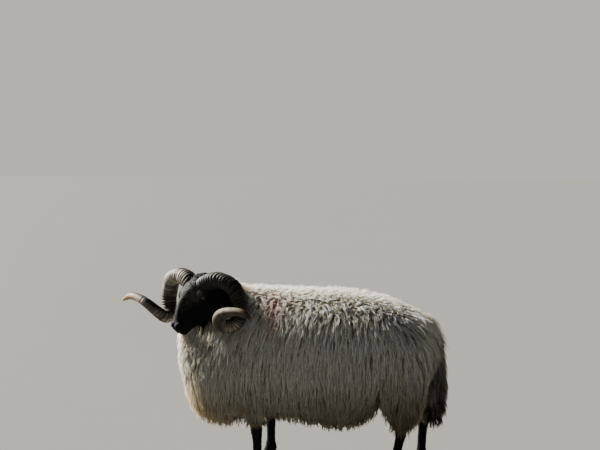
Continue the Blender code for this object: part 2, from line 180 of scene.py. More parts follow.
def to_line(points: np.ndarray, line: tuple[Triple, ...]) -> np.ndarray:
    """Distance of each point from a line of straight runs.

    Args:
        points: Points, one a row.
        line: The line's knots.

    Returns:
        One distance for each point.
    """
    nearest = np.full(len(points), 1e9)
    for start, end in zip(np.array(line[:-1]), np.array(line[1:])):
        run = end - start
        share = np.clip((points - start) @ run / (run @ run), 0.0, 1.0)
        gap = np.linalg.norm(points - (start + share[:, None] * run), axis=1)
        nearest = np.minimum(nearest, gap)
    return nearest


def thinned(points: np.ndarray, gap: float, wanted: int) -> np.ndarray:
    """Picks points that keep a least distance from each other.

    Args:
        points: Candidates in the order they are tried.
        gap: The least distance.
        wanted: The most points to keep.

    Returns:
        Numbers of the kept points.
    """
    cells: dict[tuple[int, int, int], list[int]] = {}
    kept: list[int] = []
    keys = np.floor(points / gap).astype(int)
    for number, (key, point) in enumerate(zip(keys.tolist(), points)):
        near = [other
                for dx in (-1, 0, 1) for dy in (-1, 0, 1) for dz in (-1, 0, 1)
                for other in cells.get((key[0] + dx, key[1] + dy, key[2] + dz), ())]
        if near and np.min(np.sum((points[near] - point) ** 2, axis=1)) < gap * gap:
            continue
        cells.setdefault(tuple(key), []).append(number)
        kept.append(number)
        if len(kept) == wanted:
            break
    return np.array(kept)


# ---------------------------------------------------------------- materials
class Wiring:
    """Short calls that add nodes to a tree and join them."""

    def __init__(self, tree: NodeTree) -> None:
        """Keeps the tree that the calls work on."""
        self.tree = tree

    def add(self, kind: str, **settings: object) -> Node:
        """Adds a node and sets its properties."""
        node = self.tree.nodes.new(kind)
        for key, value in settings.items():
            setattr(node, key, value)
        return node

    def feed(self, socket: NodeSocket, value: object) -> None:
        """Joins a socket to another, or sets it to a plain value."""
        if isinstance(value, NodeSocket):
            self.tree.links.new(value, socket)
        elif isinstance(value, (tuple, list)) and len(value) == 3 and socket.type == "RGBA":
            socket.default_value = (*value, 1.0)
        else:
            socket.default_value = value

    def sum(self, operation: str, first: object, second: object, clamp: bool = False) -> NodeSocket:
        """A Math node's result."""
        node = self.add("ShaderNodeMath", operation=operation, use_clamp=clamp)
        self.feed(node.inputs[0], first)
        self.feed(node.inputs[1], second)
        return node.outputs[0]

    def times(self, first: object, second: object, clamp: bool = False) -> NodeSocket:
        """Two values multiplied."""
        return self.sum("MULTIPLY", first, second, clamp)

    def blend(self, factor: object, first: object, second: object, kind: str = "MIX") -> NodeSocket:
        """A mix of two colours."""
        node = self.add("ShaderNodeMix", data_type="RGBA", blend_type=kind)
        self.feed(node.inputs[0], factor)
        self.feed(node.inputs[6], first)
        self.feed(node.inputs[7], second)
        return node.outputs[2]

    def shaded(self, colour: object, shade: object) -> NodeSocket:
        """A colour made lighter or darker by a value."""
        grey = self.add("ShaderNodeCombineColor")
        for channel in range(3):
            self.feed(grey.inputs[channel], shade)
        return self.blend(1.0, colour, grey.outputs[0], "MULTIPLY")

    def span(self, value: object, low: float, high: float,
             start: float = 0.0, end: float = 1.0) -> NodeSocket:
        """Maps a value from one range to another, held at its ends."""
        node = self.add("ShaderNodeMapRange", clamp=True)
        self.feed(node.inputs["Value"], value)
        for name, number in (("From Min", low), ("From Max", high), ("To Min", start), ("To Max", end)):
            node.inputs[name].default_value = number
        return node.outputs["Result"]

    def noise(self, vector: object, scale: object, detail: float = 2.0, rough: float = 0.55) -> NodeSocket:
        """A noise value over a vector."""
        node = self.add("ShaderNodeTexNoise")
        self.feed(node.inputs["Vector"], vector)
        self.feed(node.inputs["Scale"], scale)
        node.inputs["Detail"].default_value = detail
        node.inputs["Roughness"].default_value = rough
        return node.outputs["Fac"]

    def stretched(self, vector: object, by: object) -> NodeSocket:
        """A vector multiplied axis by axis."""
        node = self.add("ShaderNodeVectorMath", operation="MULTIPLY")
        self.feed(node.inputs[0], vector)
        self.feed(node.inputs[1], by)
        return node.outputs[0]

    def attribute(self, name: str) -> Node:
        """An Attribute node that reads the piece's own values."""
        return self.add("ShaderNodeAttribute", attribute_name=name)

    def channels(self, colour: object) -> Node:
        """A colour's three channels, each on its own."""
        node = self.add("ShaderNodeSeparateColor")
        self.feed(node.inputs[0], colour)
        return node

    def marks(self) -> tuple[NodeSocket, NodeSocket, NodeSocket]:
        """The piece's tone, doubled back to its real size, and its two masks."""
        parts = self.channels(self.attribute(MARKS).outputs["Color"])
        return self.times(parts.outputs["Red"], 2.0), parts.outputs["Green"], parts.outputs["Blue"]

    def grain(self) -> NodeSocket:
        """The coordinates that follow the piece's grain."""
        return self.attribute(GRAIN).outputs["Vector"]

    def place(self) -> NodeSocket:
        """Object coordinates."""
        return self.add("ShaderNodeTexCoord").outputs["Object"]


class Effect(Enum):
    """Shared effects, each one a node group that is built once."""

    STREAKS = "fibre_streaks"
    STAINS = "wool_stains"
    PATINA = "ground_in_dirt"


class Effects:
    """Builds the shared node groups and places them in materials."""

    def __init__(self) -> None:
        """Builds each group once."""
        self.groups = {
            Effect.STREAKS: self._streaks(),
            Effect.STAINS: self._stains(),
            Effect.PATINA: self._patina(),
        }

    @staticmethod
    def _open(effect: Effect, inputs: dict[str, object], *outputs: str) -> tuple[Wiring, Node, Node]:
        """Starts a group.

        Args:
            effect: Which group.
            inputs: Each input's name and value: four numbers for a colour, three for a vector, or one.
            outputs: Each output's name. Color is a colour, and the others are values.

        Returns:
            The group's wiring, and its input and output nodes.
        """
        tree = bpy.data.node_groups.new(effect.value, "ShaderNodeTree")
        for label, value in inputs.items():
            size = len(value) if isinstance(value, tuple) else 1
            kind = {4: "NodeSocketColor", 3: "NodeSocketVector", 1: "NodeSocketFloat"}[size]
            tree.interface.new_socket(label, in_out="INPUT", socket_type=kind).default_value = value
        for label in outputs:
            kind = "NodeSocketColor" if label == "Color" else "NodeSocketFloat"
            tree.interface.new_socket(label, in_out="OUTPUT", socket_type=kind)
        wiring = Wiring(tree)
        return wiring, wiring.add("NodeGroupInput"), wiring.add("NodeGroupOutput")

    def _streaks(self) -> NodeTree:
        """Fine fibres drawn out along one axis, as a shade and a height."""
        w, given, made = self._open(
            Effect.STREAKS, {"Vector": (0, 0, 0), "Draw Out": (1, 1, 0.1), "Scale": 300.0, "Contrast": 0.5},
            "Shade", "Height")
        drawn = w.stretched(given.outputs["Vector"], given.outputs["Draw Out"])
        fine = w.noise(drawn, given.outputs["Scale"], 3.0, 0.6)
        broad = w.noise(drawn, w.times(given.outputs["Scale"], 0.28), 2.0, 0.5)
        both = w.sum("ADD", w.times(fine, 0.6), w.times(broad, 0.4))
        swing = w.times(w.sum("SUBTRACT", both, 0.5), w.times(given.outputs["Contrast"], 2.4))
        w.feed(made.inputs["Shade"], w.sum("ADD", swing, 1.0))
        w.feed(made.inputs["Height"], both)
        return w.tree

    def _stains(self) -> NodeTree:
        """Wool colour from its root to its tip, with raddle paint and soil over it."""
        w, given, made = self._open(
            Effect.STAINS, {"Root": (0.2, 0.17, 0.13, 1), "Tip": (0.8, 0.76, 0.68, 1), "Reach": 0.5,
                            "Raddle": (0.6, 0.2, 0.2, 1), "Soil": (0.3, 0.2, 0.1, 1),
                            "Marks": (0.5, 0, 0, 1)},
            "Color")
        parts = w.channels(given.outputs["Marks"])
        wool = w.blend(w.span(given.outputs["Reach"], 0.0, 0.55), given.outputs["Root"], given.outputs["Tip"])
        soiled = w.blend(parts.outputs["Blue"], wool, given.outputs["Soil"])
        painted = w.blend(parts.outputs["Green"], soiled, given.outputs["Raddle"])
        w.feed(made.inputs["Color"], w.shaded(painted, w.times(parts.outputs["Red"], 2.0)))
        return w.tree

    def _patina(self) -> NodeTree:
        """Dirt and wear in soft patches, as a colour and a roughness."""
        w, given, made = self._open(
            Effect.PATINA, {"Vector": (0, 0, 0), "Clean": (0.3, 0.26, 0.2, 1), "Dirt": (0.1, 0.08, 0.05, 1),
                            "Amount": 0.5, "Scale": 40.0, "Dullness": 0.5},
            "Color", "Roughness")
        patch = w.span(w.noise(given.outputs["Vector"], given.outputs["Scale"], 4.0, 0.6), 0.38, 0.66)
        amount = w.times(patch, given.outputs["Amount"], clamp=True)
        w.feed(made.inputs["Color"], w.blend(amount, given.outputs["Clean"], given.outputs["Dirt"]))
        w.feed(made.inputs["Roughness"], w.sum("ADD", given.outputs["Dullness"], w.times(amount, 0.3), True))
        return w.tree

    def use(self, wiring: Wiring, effect: Effect, **values: object) -> Node:
        """Places a group in a material.

        Args:
            wiring: The material's wiring.
            effect: Which group.
            values: Input values or sockets, with spaces in names as underscores.

        Returns:
            The group's node.
        """
        node = wiring.add("ShaderNodeGroup", node_tree=self.groups[effect])
        for key, value in values.items():
            wiring.feed(node.inputs[key.replace("_", " ")], value)
        return node


@dataclass(frozen=True)
class Finish:
    """What every finish has: a name, and constants of the shader itself."""

    name: str
    roughness: float = 0.8
    specular: float = 0.3
    sheen: float = 0.0
    sheen_tint: Triple = (1.0, 1.0, 1.0)
    coat: float = 0.0
    glow: float = 0.0       # how much light passes through
    glow_depth: float = 0.004

    def build(self, effects: Effects) -> Material:
        """Makes the material: sets its shader's constants, then dresses it.

        Args:
            effects: The shared node groups.

        Returns:
            The material.
        """
        made = bpy.data.materials.new(self.name)
        made.use_nodes = True
        wiring = Wiring(made.node_tree)
        shader = made.node_tree.nodes["Principled BSDF"]
        constants = {
            "Roughness": self.roughness, "Specular IOR Level": self.specular,
            "Sheen Weight": self.sheen, "Sheen Roughness": 0.45, "Sheen Tint": self.sheen_tint,
            "Subsurface Weight": self.glow, "Subsurface Radius": (1.0, 0.85, 0.65),
            "Subsurface Scale": self.glow_depth, "Coat Weight": self.coat, "Coat Roughness": 0.04,
        }
        for label, value in constants.items():
            wiring.feed(shader.inputs[label], value)
        self.dress(wiring, shader, effects)
        return made

    def dress(self, w: Wiring, shader: Node, effects: Effects) -> None:
        """Joins a finish's own colours and relief to its shader."""

    @staticmethod
    def raise_bump(w: Wiring, shader: Node, height: object, depth: float, strength: float) -> None:
        """Joins a height to the shader's normal through a Bump node."""
        bump = w.add("ShaderNodeBump")
        bump.inputs["Strength"].default_value = strength
        bump.inputs["Distance"].default_value = depth
        w.feed(bump.inputs["Height"], height)
        w.feed(shader.inputs["Normal"], bump.outputs["Normal"])


@dataclass(frozen=True)
class WoolFinish(Finish):
    """Long hill wool: greyed at the root, cream at the tip, painted and soiled."""

    root: Triple = (0.270, 0.240, 0.190)
    tip: Triple = (0.770, 0.748, 0.665)
    raddle: Triple = (0.720, 0.300, 0.310)
    soil: Triple = (0.410, 0.320, 0.110)
    draw_out: Triple = (1.0, 1.0, 0.10)
    fibre_scale: float = 520.0

    def dress(self, w: Wiring, shader: Node, effects: Effects) -> None:
        """Colours the wool by its marks, and raises its fibres."""
        marks = w.attribute(MARKS)
        streaks = effects.use(w, Effect.STREAKS, Vector=w.place(), Draw_Out=self.draw_out,
                              Scale=self.fibre_scale, Contrast=0.5)
        wool = effects.use(w, Effect.STAINS, Root=self.root, Tip=self.tip, Raddle=self.raddle, Soil=self.soil,
                           Marks=marks.outputs["Color"], Reach=marks.outputs["Alpha"])
        w.feed(shader.inputs["Base Color"], w.shaded(wool.outputs["Color"], streaks.outputs["Shade"]))
        self.raise_bump(w, shader, streaks.outputs["Height"], 0.0015, 0.6)


@dataclass(frozen=True)
class HairFinish(Finish):
    """Short black hair, with grey hairs where the coat is worn or old."""

    # near black with a blue cast; the blue cast is painted cool shade light
    black: Triple = (0.0054, 0.0064, 0.0090)
    brown: Triple = (0.011, 0.010, 0.011)
    grey: Triple = (0.200, 0.195, 0.190)
    hair_scale: float = 900.0

    def dress(self, w: Wiring, shader: Node, effects: Effects) -> None:
        """Mixes grey hairs into the black, and raises the hairs."""
        tone, greyness, _ = w.marks()
        streaks = effects.use(w, Effect.STREAKS, Vector=w.grain(), Draw_Out=(1.0, 1.0, 1.0),
                              Scale=self.hair_scale, Contrast=1.0)
        dull = effects.use(w, Effect.PATINA, Vector=w.place(), Clean=self.black, Dirt=self.brown,
                           Amount=0.7, Scale=34.0, Dullness=self.roughness)
        grey_hairs = w.times(greyness, w.span(streaks.outputs["Height"], 0.42, 0.62), clamp=True)
        coloured = w.blend(grey_hairs, dull.outputs["Color"], self.grey)
        w.feed(shader.inputs["Base Color"], w.shaded(coloured, w.times(tone, streaks.outputs["Shade"])))
        w.feed(shader.inputs["Roughness"], dull.outputs["Roughness"])
        self.raise_bump(w, shader, streaks.outputs["Height"], 0.0012, 0.8)


@dataclass(frozen=True)
class HornFinish(Finish):
    """Ridged horn: dark in the grooves and pale on the crests, partly as painted shade and highlight, and
    cream towards the tip.
    """

    groove: Triple = (0.018, 0.016, 0.015)
    crest: Triple = (0.330, 0.308, 0.260)
    tip_groove: Triple = (0.170, 0.110, 0.046)
    tip_crest: Triple = (0.500, 0.360, 0.160)
    dirt: Triple = (0.060, 0.048, 0.036)

    def dress(self, w: Wiring, shader: Node, effects: Effects) -> None:
        """Colours grooves, crests and tip, and lays dirt over them."""
        bleach_and_light, ridge, cream = w.marks()
        grain = w.grain()
        streaks = effects.use(w, Effect.STREAKS, Vector=grain, Draw_Out=(0.12, 1.0, 1.0),
                              Scale=420.0, Contrast=0.55)
        base = w.blend(ridge, self.groove, self.crest)
        end = w.blend(ridge, self.tip_groove, self.tip_crest)
        dirty = effects.use(w, Effect.PATINA, Vector=grain, Clean=w.blend(cream, base, end), Dirt=self.dirt,
                            Amount=0.55, Scale=38.0, Dullness=self.roughness)
        # the horn's paleness, with painted light and shade over it
        shade = w.times(bleach_and_light, streaks.outputs["Shade"])
        w.feed(shader.inputs["Base Color"], w.shaded(dirty.outputs["Color"], shade))
        w.feed(shader.inputs["Roughness"], dirty.outputs["Roughness"])
        self.raise_bump(w, shader, streaks.outputs["Height"], 0.0016, 0.7)


@dataclass(frozen=True)
class HoofFinish(Finish):
    """Dark claw horn with growth rings and dried mud at the sole."""

    horn: Triple = (0.020, 0.017, 0.016)
    mud: Triple = (0.088, 0.066, 0.045)
    mud_height: float = 0.030

    def dress(self, w: Wiring, shader: Node, effects: Effects) -> None:
        """Draws the growth rings, and lays mud over the lower part."""
        place = w.place()
        rings = effects.use(w, Effect.STREAKS, Vector=place, Draw_Out=(0.10, 0.10, 1.0),
                            Scale=430.0, Contrast=1.1)
        axes = w.add("ShaderNodeSeparateXYZ")
        w.feed(axes.inputs[0], place)
        amount = w.span(axes.outputs["Z"], 0.0, self.mud_height, 1.0, 0.05)
        dirty = effects.use(w, Effect.PATINA, Vector=place, Clean=self.horn, Dirt=self.mud,
                            Amount=amount, Scale=70.0, Dullness=self.roughness)
        w.feed(shader.inputs["Base Color"], w.shaded(dirty.outputs["Color"], rings.outputs["Shade"]))
        w.feed(shader.inputs["Roughness"], dirty.outputs["Roughness"])
        self.raise_bump(w, shader, rings.outputs["Height"], 0.0018, 0.9)


@dataclass(frozen=True)
class EyeFinish(Finish):
    """Amber iris with a level slot of a pupil, in a dark wet ball, both darkened as painted shade."""

    pupil: Triple = (0.004, 0.004, 0.006)
    # iris and ball are darker than an amber eye's colour: painted shade
    iris: Triple = (0.050, 0.024, 0.012)
    iris_edge: Triple = (0.022, 0.010, 0.007)
    white: Triple = (0.030, 0.018, 0.016)

    def dress(self, w: Wiring, shader: Node, effects: Effects) -> None:
        """Colours the pupil, the iris and the white."""
        _, reach, slot = w.marks()
        fibres = effects.use(w, Effect.STREAKS, Vector=w.grain(), Draw_Out=(1.0, 1.0, 0.06),
                             Scale=7.0, Contrast=0.9)
        iris = w.blend(w.span(reach, 0.30, 0.95), self.iris, self.iris_edge)
        iris = w.shaded(iris, fibres.outputs["Shade"])
        ball = w.blend(w.span(reach, 0.94, 1.0), iris, self.white)
        w.feed(shader.inputs["Base Color"], w.blend(w.span(slot, 0.86, 1.04), self.pupil, ball))


@dataclass(frozen=True)
class FloorFinish(Finish):
    """A plain pale studio floor."""

    tint: Triple = (0.172, 0.170, 0.161)

    def dress(self, w: Wiring, shader: Node, effects: Effects) -> None:
        """Colours the floor, with very faint patches."""
        dull = effects.use(w, Effect.PATINA, Vector=w.place(), Clean=self.tint,
                           Dirt=tuple(0.97 * part for part in self.tint), Amount=0.5, Scale=0.8)
        w.feed(shader.inputs["Base Color"], dull.outputs["Color"])


# ---------------------------------------------------------------- pieces
def placed(name: str, data: bpy.types.ID) -> Object:
    """Puts a new object into the scene."""
    made = bpy.data.objects.new(name, data)
    bpy.context.scene.collection.objects.link(made)
    return made


def piece(name: str, mesh: Mesh, slot: str, *finishes: Material) -> Object:
    """Makes a smooth-shaded object of a mesh, dresses it and lets it ride on the ram.

    Args:
        name: The piece's name.
        mesh: Its mesh, in place.
        slot: Not used.
        finishes: Its materials.

    Returns:
        The object.
    """
    made = placed(name, mesh)
    for finish in finishes:
        mesh.materials.append(finish)
    mesh.polygons.foreach_set("use_smooth", np.ones(len(mesh.polygons), dtype=bool))
    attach(made, BODY)
    return made


def mesh_of(name: str, form: BMesh) -> Mesh:
    """Turns a bmesh into a mesh and frees it."""
    mesh = bpy.data.meshes.new(name)
    form.to_mesh(mesh)
    form.free()
    return mesh


def form_of(*meshes: Mesh) -> BMesh:
    """One bmesh of one or more meshes."""
    form = bmesh.new()
    for mesh in meshes:
        form.from_mesh(mesh)
    return form


def drawn_out(form: BMesh, edges: list[BMEdge]) -> tuple[list[BMEdge], list[BMVert]]:
    """Draws a ring out by one more ring, and gives the new one's edges and vertices."""
    grown = bmesh.ops.extrude_edge_only(form, edges=edges)["geom"]
    return ([item for item in grown if isinstance(item, BMEdge)],
            [item for item in grown if isinstance(item, BMVert)])


def shaped(mesh: Mesh, kind: str, group: list[int] | None = None, **settings: object) -> Mesh:
    """Puts one modifier on a mesh and returns the result.

    Args:
        mesh: The mesh to shape.
        kind: The modifier's type.
        group: Vertices that the modifier works on, where it takes a group.
        settings: The modifier's settings.

    Returns:
        The shaped mesh.
    """
    holder = placed("holder", mesh)
    modifier = holder.modifiers.new(kind.lower(), kind)
    for key, value in settings.items():
        setattr(modifier, key, value)
    if group is not None:
        holder.vertex_groups.new(name="worked").add(group, 1.0, "REPLACE")
        modifier.vertex_group = "worked"
    shown = holder.evaluated_get(bpy.context.evaluated_depsgraph_get())
    made = bpy.data.meshes.new_from_object(shown)
    bpy.data.objects.remove(holder, do_unlink=True)
    return made


def write_marks(mesh: Mesh, rows: np.ndarray) -> None:
    """Stores four numbers at each vertex as the piece's marks."""
    layer = mesh.color_attributes.new(MARKS, "FLOAT_COLOR", "POINT")
    layer.data.foreach_set("color", rows.astype(np.float32).ravel())


def write_grain(mesh: Mesh, rows: np.ndarray) -> None:
    """Stores the direction-following coordinates of a piece's grain."""
    layer = mesh.attributes.new(GRAIN, "FLOAT_VECTOR", "POINT")
    layer.data.foreach_set("vector", rows.astype(np.float32).ravel())


def marks_of(tone: np.ndarray, green: np.ndarray, blue: np.ndarray, reach: np.ndarray) -> np.ndarray:
    """Packs tone, two masks and reach into rows of four."""
    return np.stack([np.clip(tone / 2, 0, 1), green, blue, reach], axis=-1)


# ---------------------------------------------------------------- what the wool shows
@dataclass(frozen=True)
class Markings:
    """Paint, soil, and painted light and shade over the wool, in the ram's own coordinates."""

    zero: Vector
    raddle_line: tuple[Triple, ...] = ((-0.128, -0.105, 0.720), (-0.108, -0.235, 0.600))
    raddle_width: float = 0.040
    raddle_share: float = 0.62
    rump_spot: Triple = (0.400, -0.195, 0.645)
    rump_spot_width: float = 0.026
    rump_spot_share: float = 0.30
    # painted shadow of the head: the wool is darkened along this line beneath it
    under_head_shade_line: tuple[Triple, ...] = ((-0.44, -0.20, 0.60), (-0.30, -0.22, 0.60))
    under_head_shade_width: float = 0.070
    rump_edge: tuple[float, float] = (0.42, 0.63)       # how far back and how high the rump's upper edge is
    rump_width: float = 0.060

    def raddle(self, points: np.ndarray) -> np.ndarray:
        """How much paint lies on each point."""
        own = points - np.array(self.zero)
        stripe = bell(to_line(own, self.raddle_line), self.raddle_width)
        spot = bell(np.linalg.norm(own - np.array(self.rump_spot), axis=1), self.rump_spot_width)
        thick = 0.25 + 0.75 * ease(own[:, 2], 0.585, 0.700)
        return self.raddle_share * stripe * thick + self.rump_spot_share * spot

    def soil(self, points: np.ndarray) -> np.ndarray:
        """How soiled each point is: the brisket's hem, the belly's hem and the thighs' insides."""
        own = points - np.array(self.zero)
        low = ease(own[:, 2], 0.50, 0.24)
        brisket = ease(own[:, 0], -0.20, -0.46)
        thigh = bell(own[:, 0] - 0.34, 0.06) * ease(own[:, 2], 0.52, 0.38)
        return np.clip(0.06 + low * (0.60 + 0.34 * brisket) + 0.26 * thigh, 0, 0.95)

    def tone(self, points: np.ndarray) -> np.ndarray:
        """How light each point is before the small changes from lock to lock: painted light on the back,
        painted shade under the head and between rump and tail, and darker towards the bottom, partly soil and
        partly painted shade.
        """
        own = points - np.array(self.zero)
        # lighter on the back: painted light
        back = ease(own[:, 2], 0.53, 0.66)
        # darker towards the bottom: partly soil, partly painted shade
        hem = ease(own[:, 2], 0.58, 0.26) * (1 - 0.75 * ease(own[:, 0], -0.22, -0.42))
        # painted shade in the groove between rump and tail
        rump_tail_shade = bell(own[:, 0] - 0.458, 0.030) * ease(own[:, 2], 0.67, 0.60)
        # painted shadow of the head on the wool beneath it
        under_head_shade = bell(to_line(own, self.under_head_shade_line), self.under_head_shade_width)
        return (0.85 + 0.27 * back) * (1 - 0.78 * hem) * (1 - 0.60 * rump_tail_shade) * (1 - 0.45 * under_head_shade)

    def rump(self, points: np.ndarray) -> np.ndarray:
        """How far each point is on the rump's upper edge, where the wool stands out."""
        own = points - np.array(self.zero)
        back, high = self.rump_edge
        return bell(own[:, 0] - back, self.rump_width) * bell(own[:, 2] - high, self.rump_width)


class Part(Enum):
    """What a place on the skin belongs to."""

    TRUNK = 0
    NECK = 1
    TAIL = 2
    HEAD = 3
    EAR = 4
    UPPER_LEG = 5
    LOWER_LEG = 6
    EYE = 7
    NAPE = 8


LEGS = ("foreleg_left", "foreleg_right", "hindleg_left", "hindleg_right")
NODE_PARTS: dict[str, Part] = {
    "trunk": Part.TRUNK, "neck": Part.NECK, "tail": Part.TAIL, "head": Part.HEAD,
    "ear_left": Part.EAR, "ear_right": Part.EAR, "eye_left": Part.EYE, "eye_right": Part.EYE,
    **{leg + "_upper": Part.UPPER_LEG for leg in LEGS},
    **{leg + "_lower": Part.LOWER_LEG for leg in LEGS},
}
WOOLLY = (Part.TRUNK, Part.NECK, Part.TAIL, Part.UPPER_LEG)
FACIAL = (Part.HEAD, Part.EAR, Part.EYE)


def among(parts: np.ndarray, *kinds: Part) -> np.ndarray:
    """Which places belong to any of some parts."""
    return np.isin(parts, [kind.value for kind in kinds])


def tree_of(*nodes: str) -> tuple[BVHTree, list[str]]:
    """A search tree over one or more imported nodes, and the node of each of its faces."""
    places: list[Vector] = []
    faces: list[tuple[int, ...]] = []
    owners: list[str] = []
    for node in nodes:
        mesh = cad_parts[node].data
        start = len(places)
        places += [vert.co.copy() for vert in mesh.vertices]
        faces += [tuple(start + corner for corner in face.vertices) for face in mesh.polygons]
        owners += [node] * len(mesh.polygons)
    return BVHTree.FromPolygons(places, faces), owners


def beside(points: np.ndarray, left_ear: float, right_ear: float, head: float) -> np.ndarray:
    """Which points lie close to an ear or to the head.

    Args:
        points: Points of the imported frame.
        left_ear: How far from the left ear still counts.
        right_ear: How far from the right ear.
        head: How far from the head.

    Returns:
        True for each point that is close to one of them.
    """
    near = np.zeros(len(points), dtype=bool)
    for node, gap in (("ear_left", left_ear), ("ear_right", right_ear), ("head", head)):
        tree, _ = tree_of(node)
        low, high = (np.array(corner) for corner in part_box(node))
        tried = np.flatnonzero(np.all((points > low - gap) & (points < high + gap), axis=1))
        found = [tree.find_nearest(point, gap)[0] is not None for point in points[tried].tolist()]
        near[tried] |= np.array(found, dtype=bool)
    return near


# ---------------------------------------------------------------- skin
@dataclass
class Surface:
    """The ram's outline and the skin under it, vertex by vertex."""

    outer: np.ndarray
    inner: np.ndarray
    normals: np.ndarray
    depth: np.ndarray
    parts: np.ndarray
    triangles: np.ndarray

    def __post_init__(self) -> None:
        """Makes the search tree over the outline."""
        self.tree = BVHTree.FromPolygons(self.outer.tolist(), self.triangles.tolist())

    def nearest(self, points: np.ndarray) -> tuple[np.ndarray, np.ndarray]:
        """Finds the nearest places on the outline, and the number of a vertex beside each."""
        found = [self.tree.find_nearest(point) for point in points.tolist()]
        places = np.array([hit[0] for hit in found])
        return places, self.triangles[np.array([hit[2] for hit in found]), 0]

    def scatter(self, rng: np.random.Generator, count: int, weight: np.ndarray) -> tuple[np.ndarray, ...]:
        """Scatters roots over the skin.

        Args:
            rng: Source of chance.
            count: How many.
            weight: How dense the roots lie at each vertex.

        Returns:
            Places on the skin, places on the outline, normals, depths and vertex numbers.
        """
        corners = self.inner[self.triangles]
        area = np.linalg.norm(np.cross(corners[:, 1] - corners[:, 0], corners[:, 2] - corners[:, 0]), axis=1)
        chance = area * weight[self.triangles].mean(axis=1)
        picked = rng.choice(len(area), count, p=chance / chance.sum())
        first, second = rng.random(count), rng.random(count)
        over = first + second > 1
        first[over], second[over] = 1 - first[over], 1 - second[over]
        share = np.stack([1 - first - second, first, second], axis=1)[:, :, None]
        tri = self.triangles[picked]
        nearest = tri[np.arange(count), share[:, :, 0].argmax(axis=1)]
        inner, outer, normals = ((rows[tri] * share).sum(axis=1)
                                 for rows in (self.inner, self.outer, self.normals))
        return inner, outer, unit(normals), (self.depth[tri] * share[:, :, 0]).sum(axis=1), nearest


@dataclass(frozen=True)
class Crease:
    """A line drawn into the skin of both halves of the face, or raised from it.

    Its knots are in the head's axes, on the left half. A rim may run along both of its sides.
    """

    knots: tuple[Triple, ...]
    push: float                 # inward where it is negative
    width: float
    rim: float = 0.0
    rim_gap: float = 0.0
    rim_width: float = 0.0030

    def pushes(self, own: np.ndarray) -> np.ndarray:
        """How far outward it moves each point, given in the head's axes on the left half."""
        gap = to_line(own, self.knots)
        return self.push * bell(gap, self.width) + self.rim * bell(gap - self.rim_gap, self.rim_width)


CREASES: dict[str, Crease] = {
    "mouth": Crease(((0.207, -0.072, 0.0), (0.196, -0.075, 0.013), (0.172, -0.084, 0.024),
                     (0.145, -0.092, 0.033)), -0.0056, 0.0027, 0.0015, 0.0066),
    "tear line": Crease(((0.082, -0.047, 0.052), (0.104, -0.056, 0.044), (0.124, -0.062, 0.038)),
                        -0.0022, 0.0050),
    "nostril": Crease(((0.203, -0.040, 0.0085), (0.198, -0.033, 0.0165), (0.191, -0.034, 0.0225)),
                      -0.0115, 0.0042, 0.0018, 0.0085),
    "lip cleft": Crease(((0.210, -0.046, 0.0), (0.207, -0.070, 0.0)), -0.0022, 0.0022),
    "jaw fold": Crease(((0.070, -0.132, 0.045), (0.030, -0.142, 0.052), (0.0, -0.120, 0.056)),
                       -0.0030, 0.0080),
    "brow arch": Crease(((0.036, -0.022, 0.052), (0.056, -0.014, 0.053), (0.078, -0.024, 0.050)),
                        0.0030, 0.0055),
}


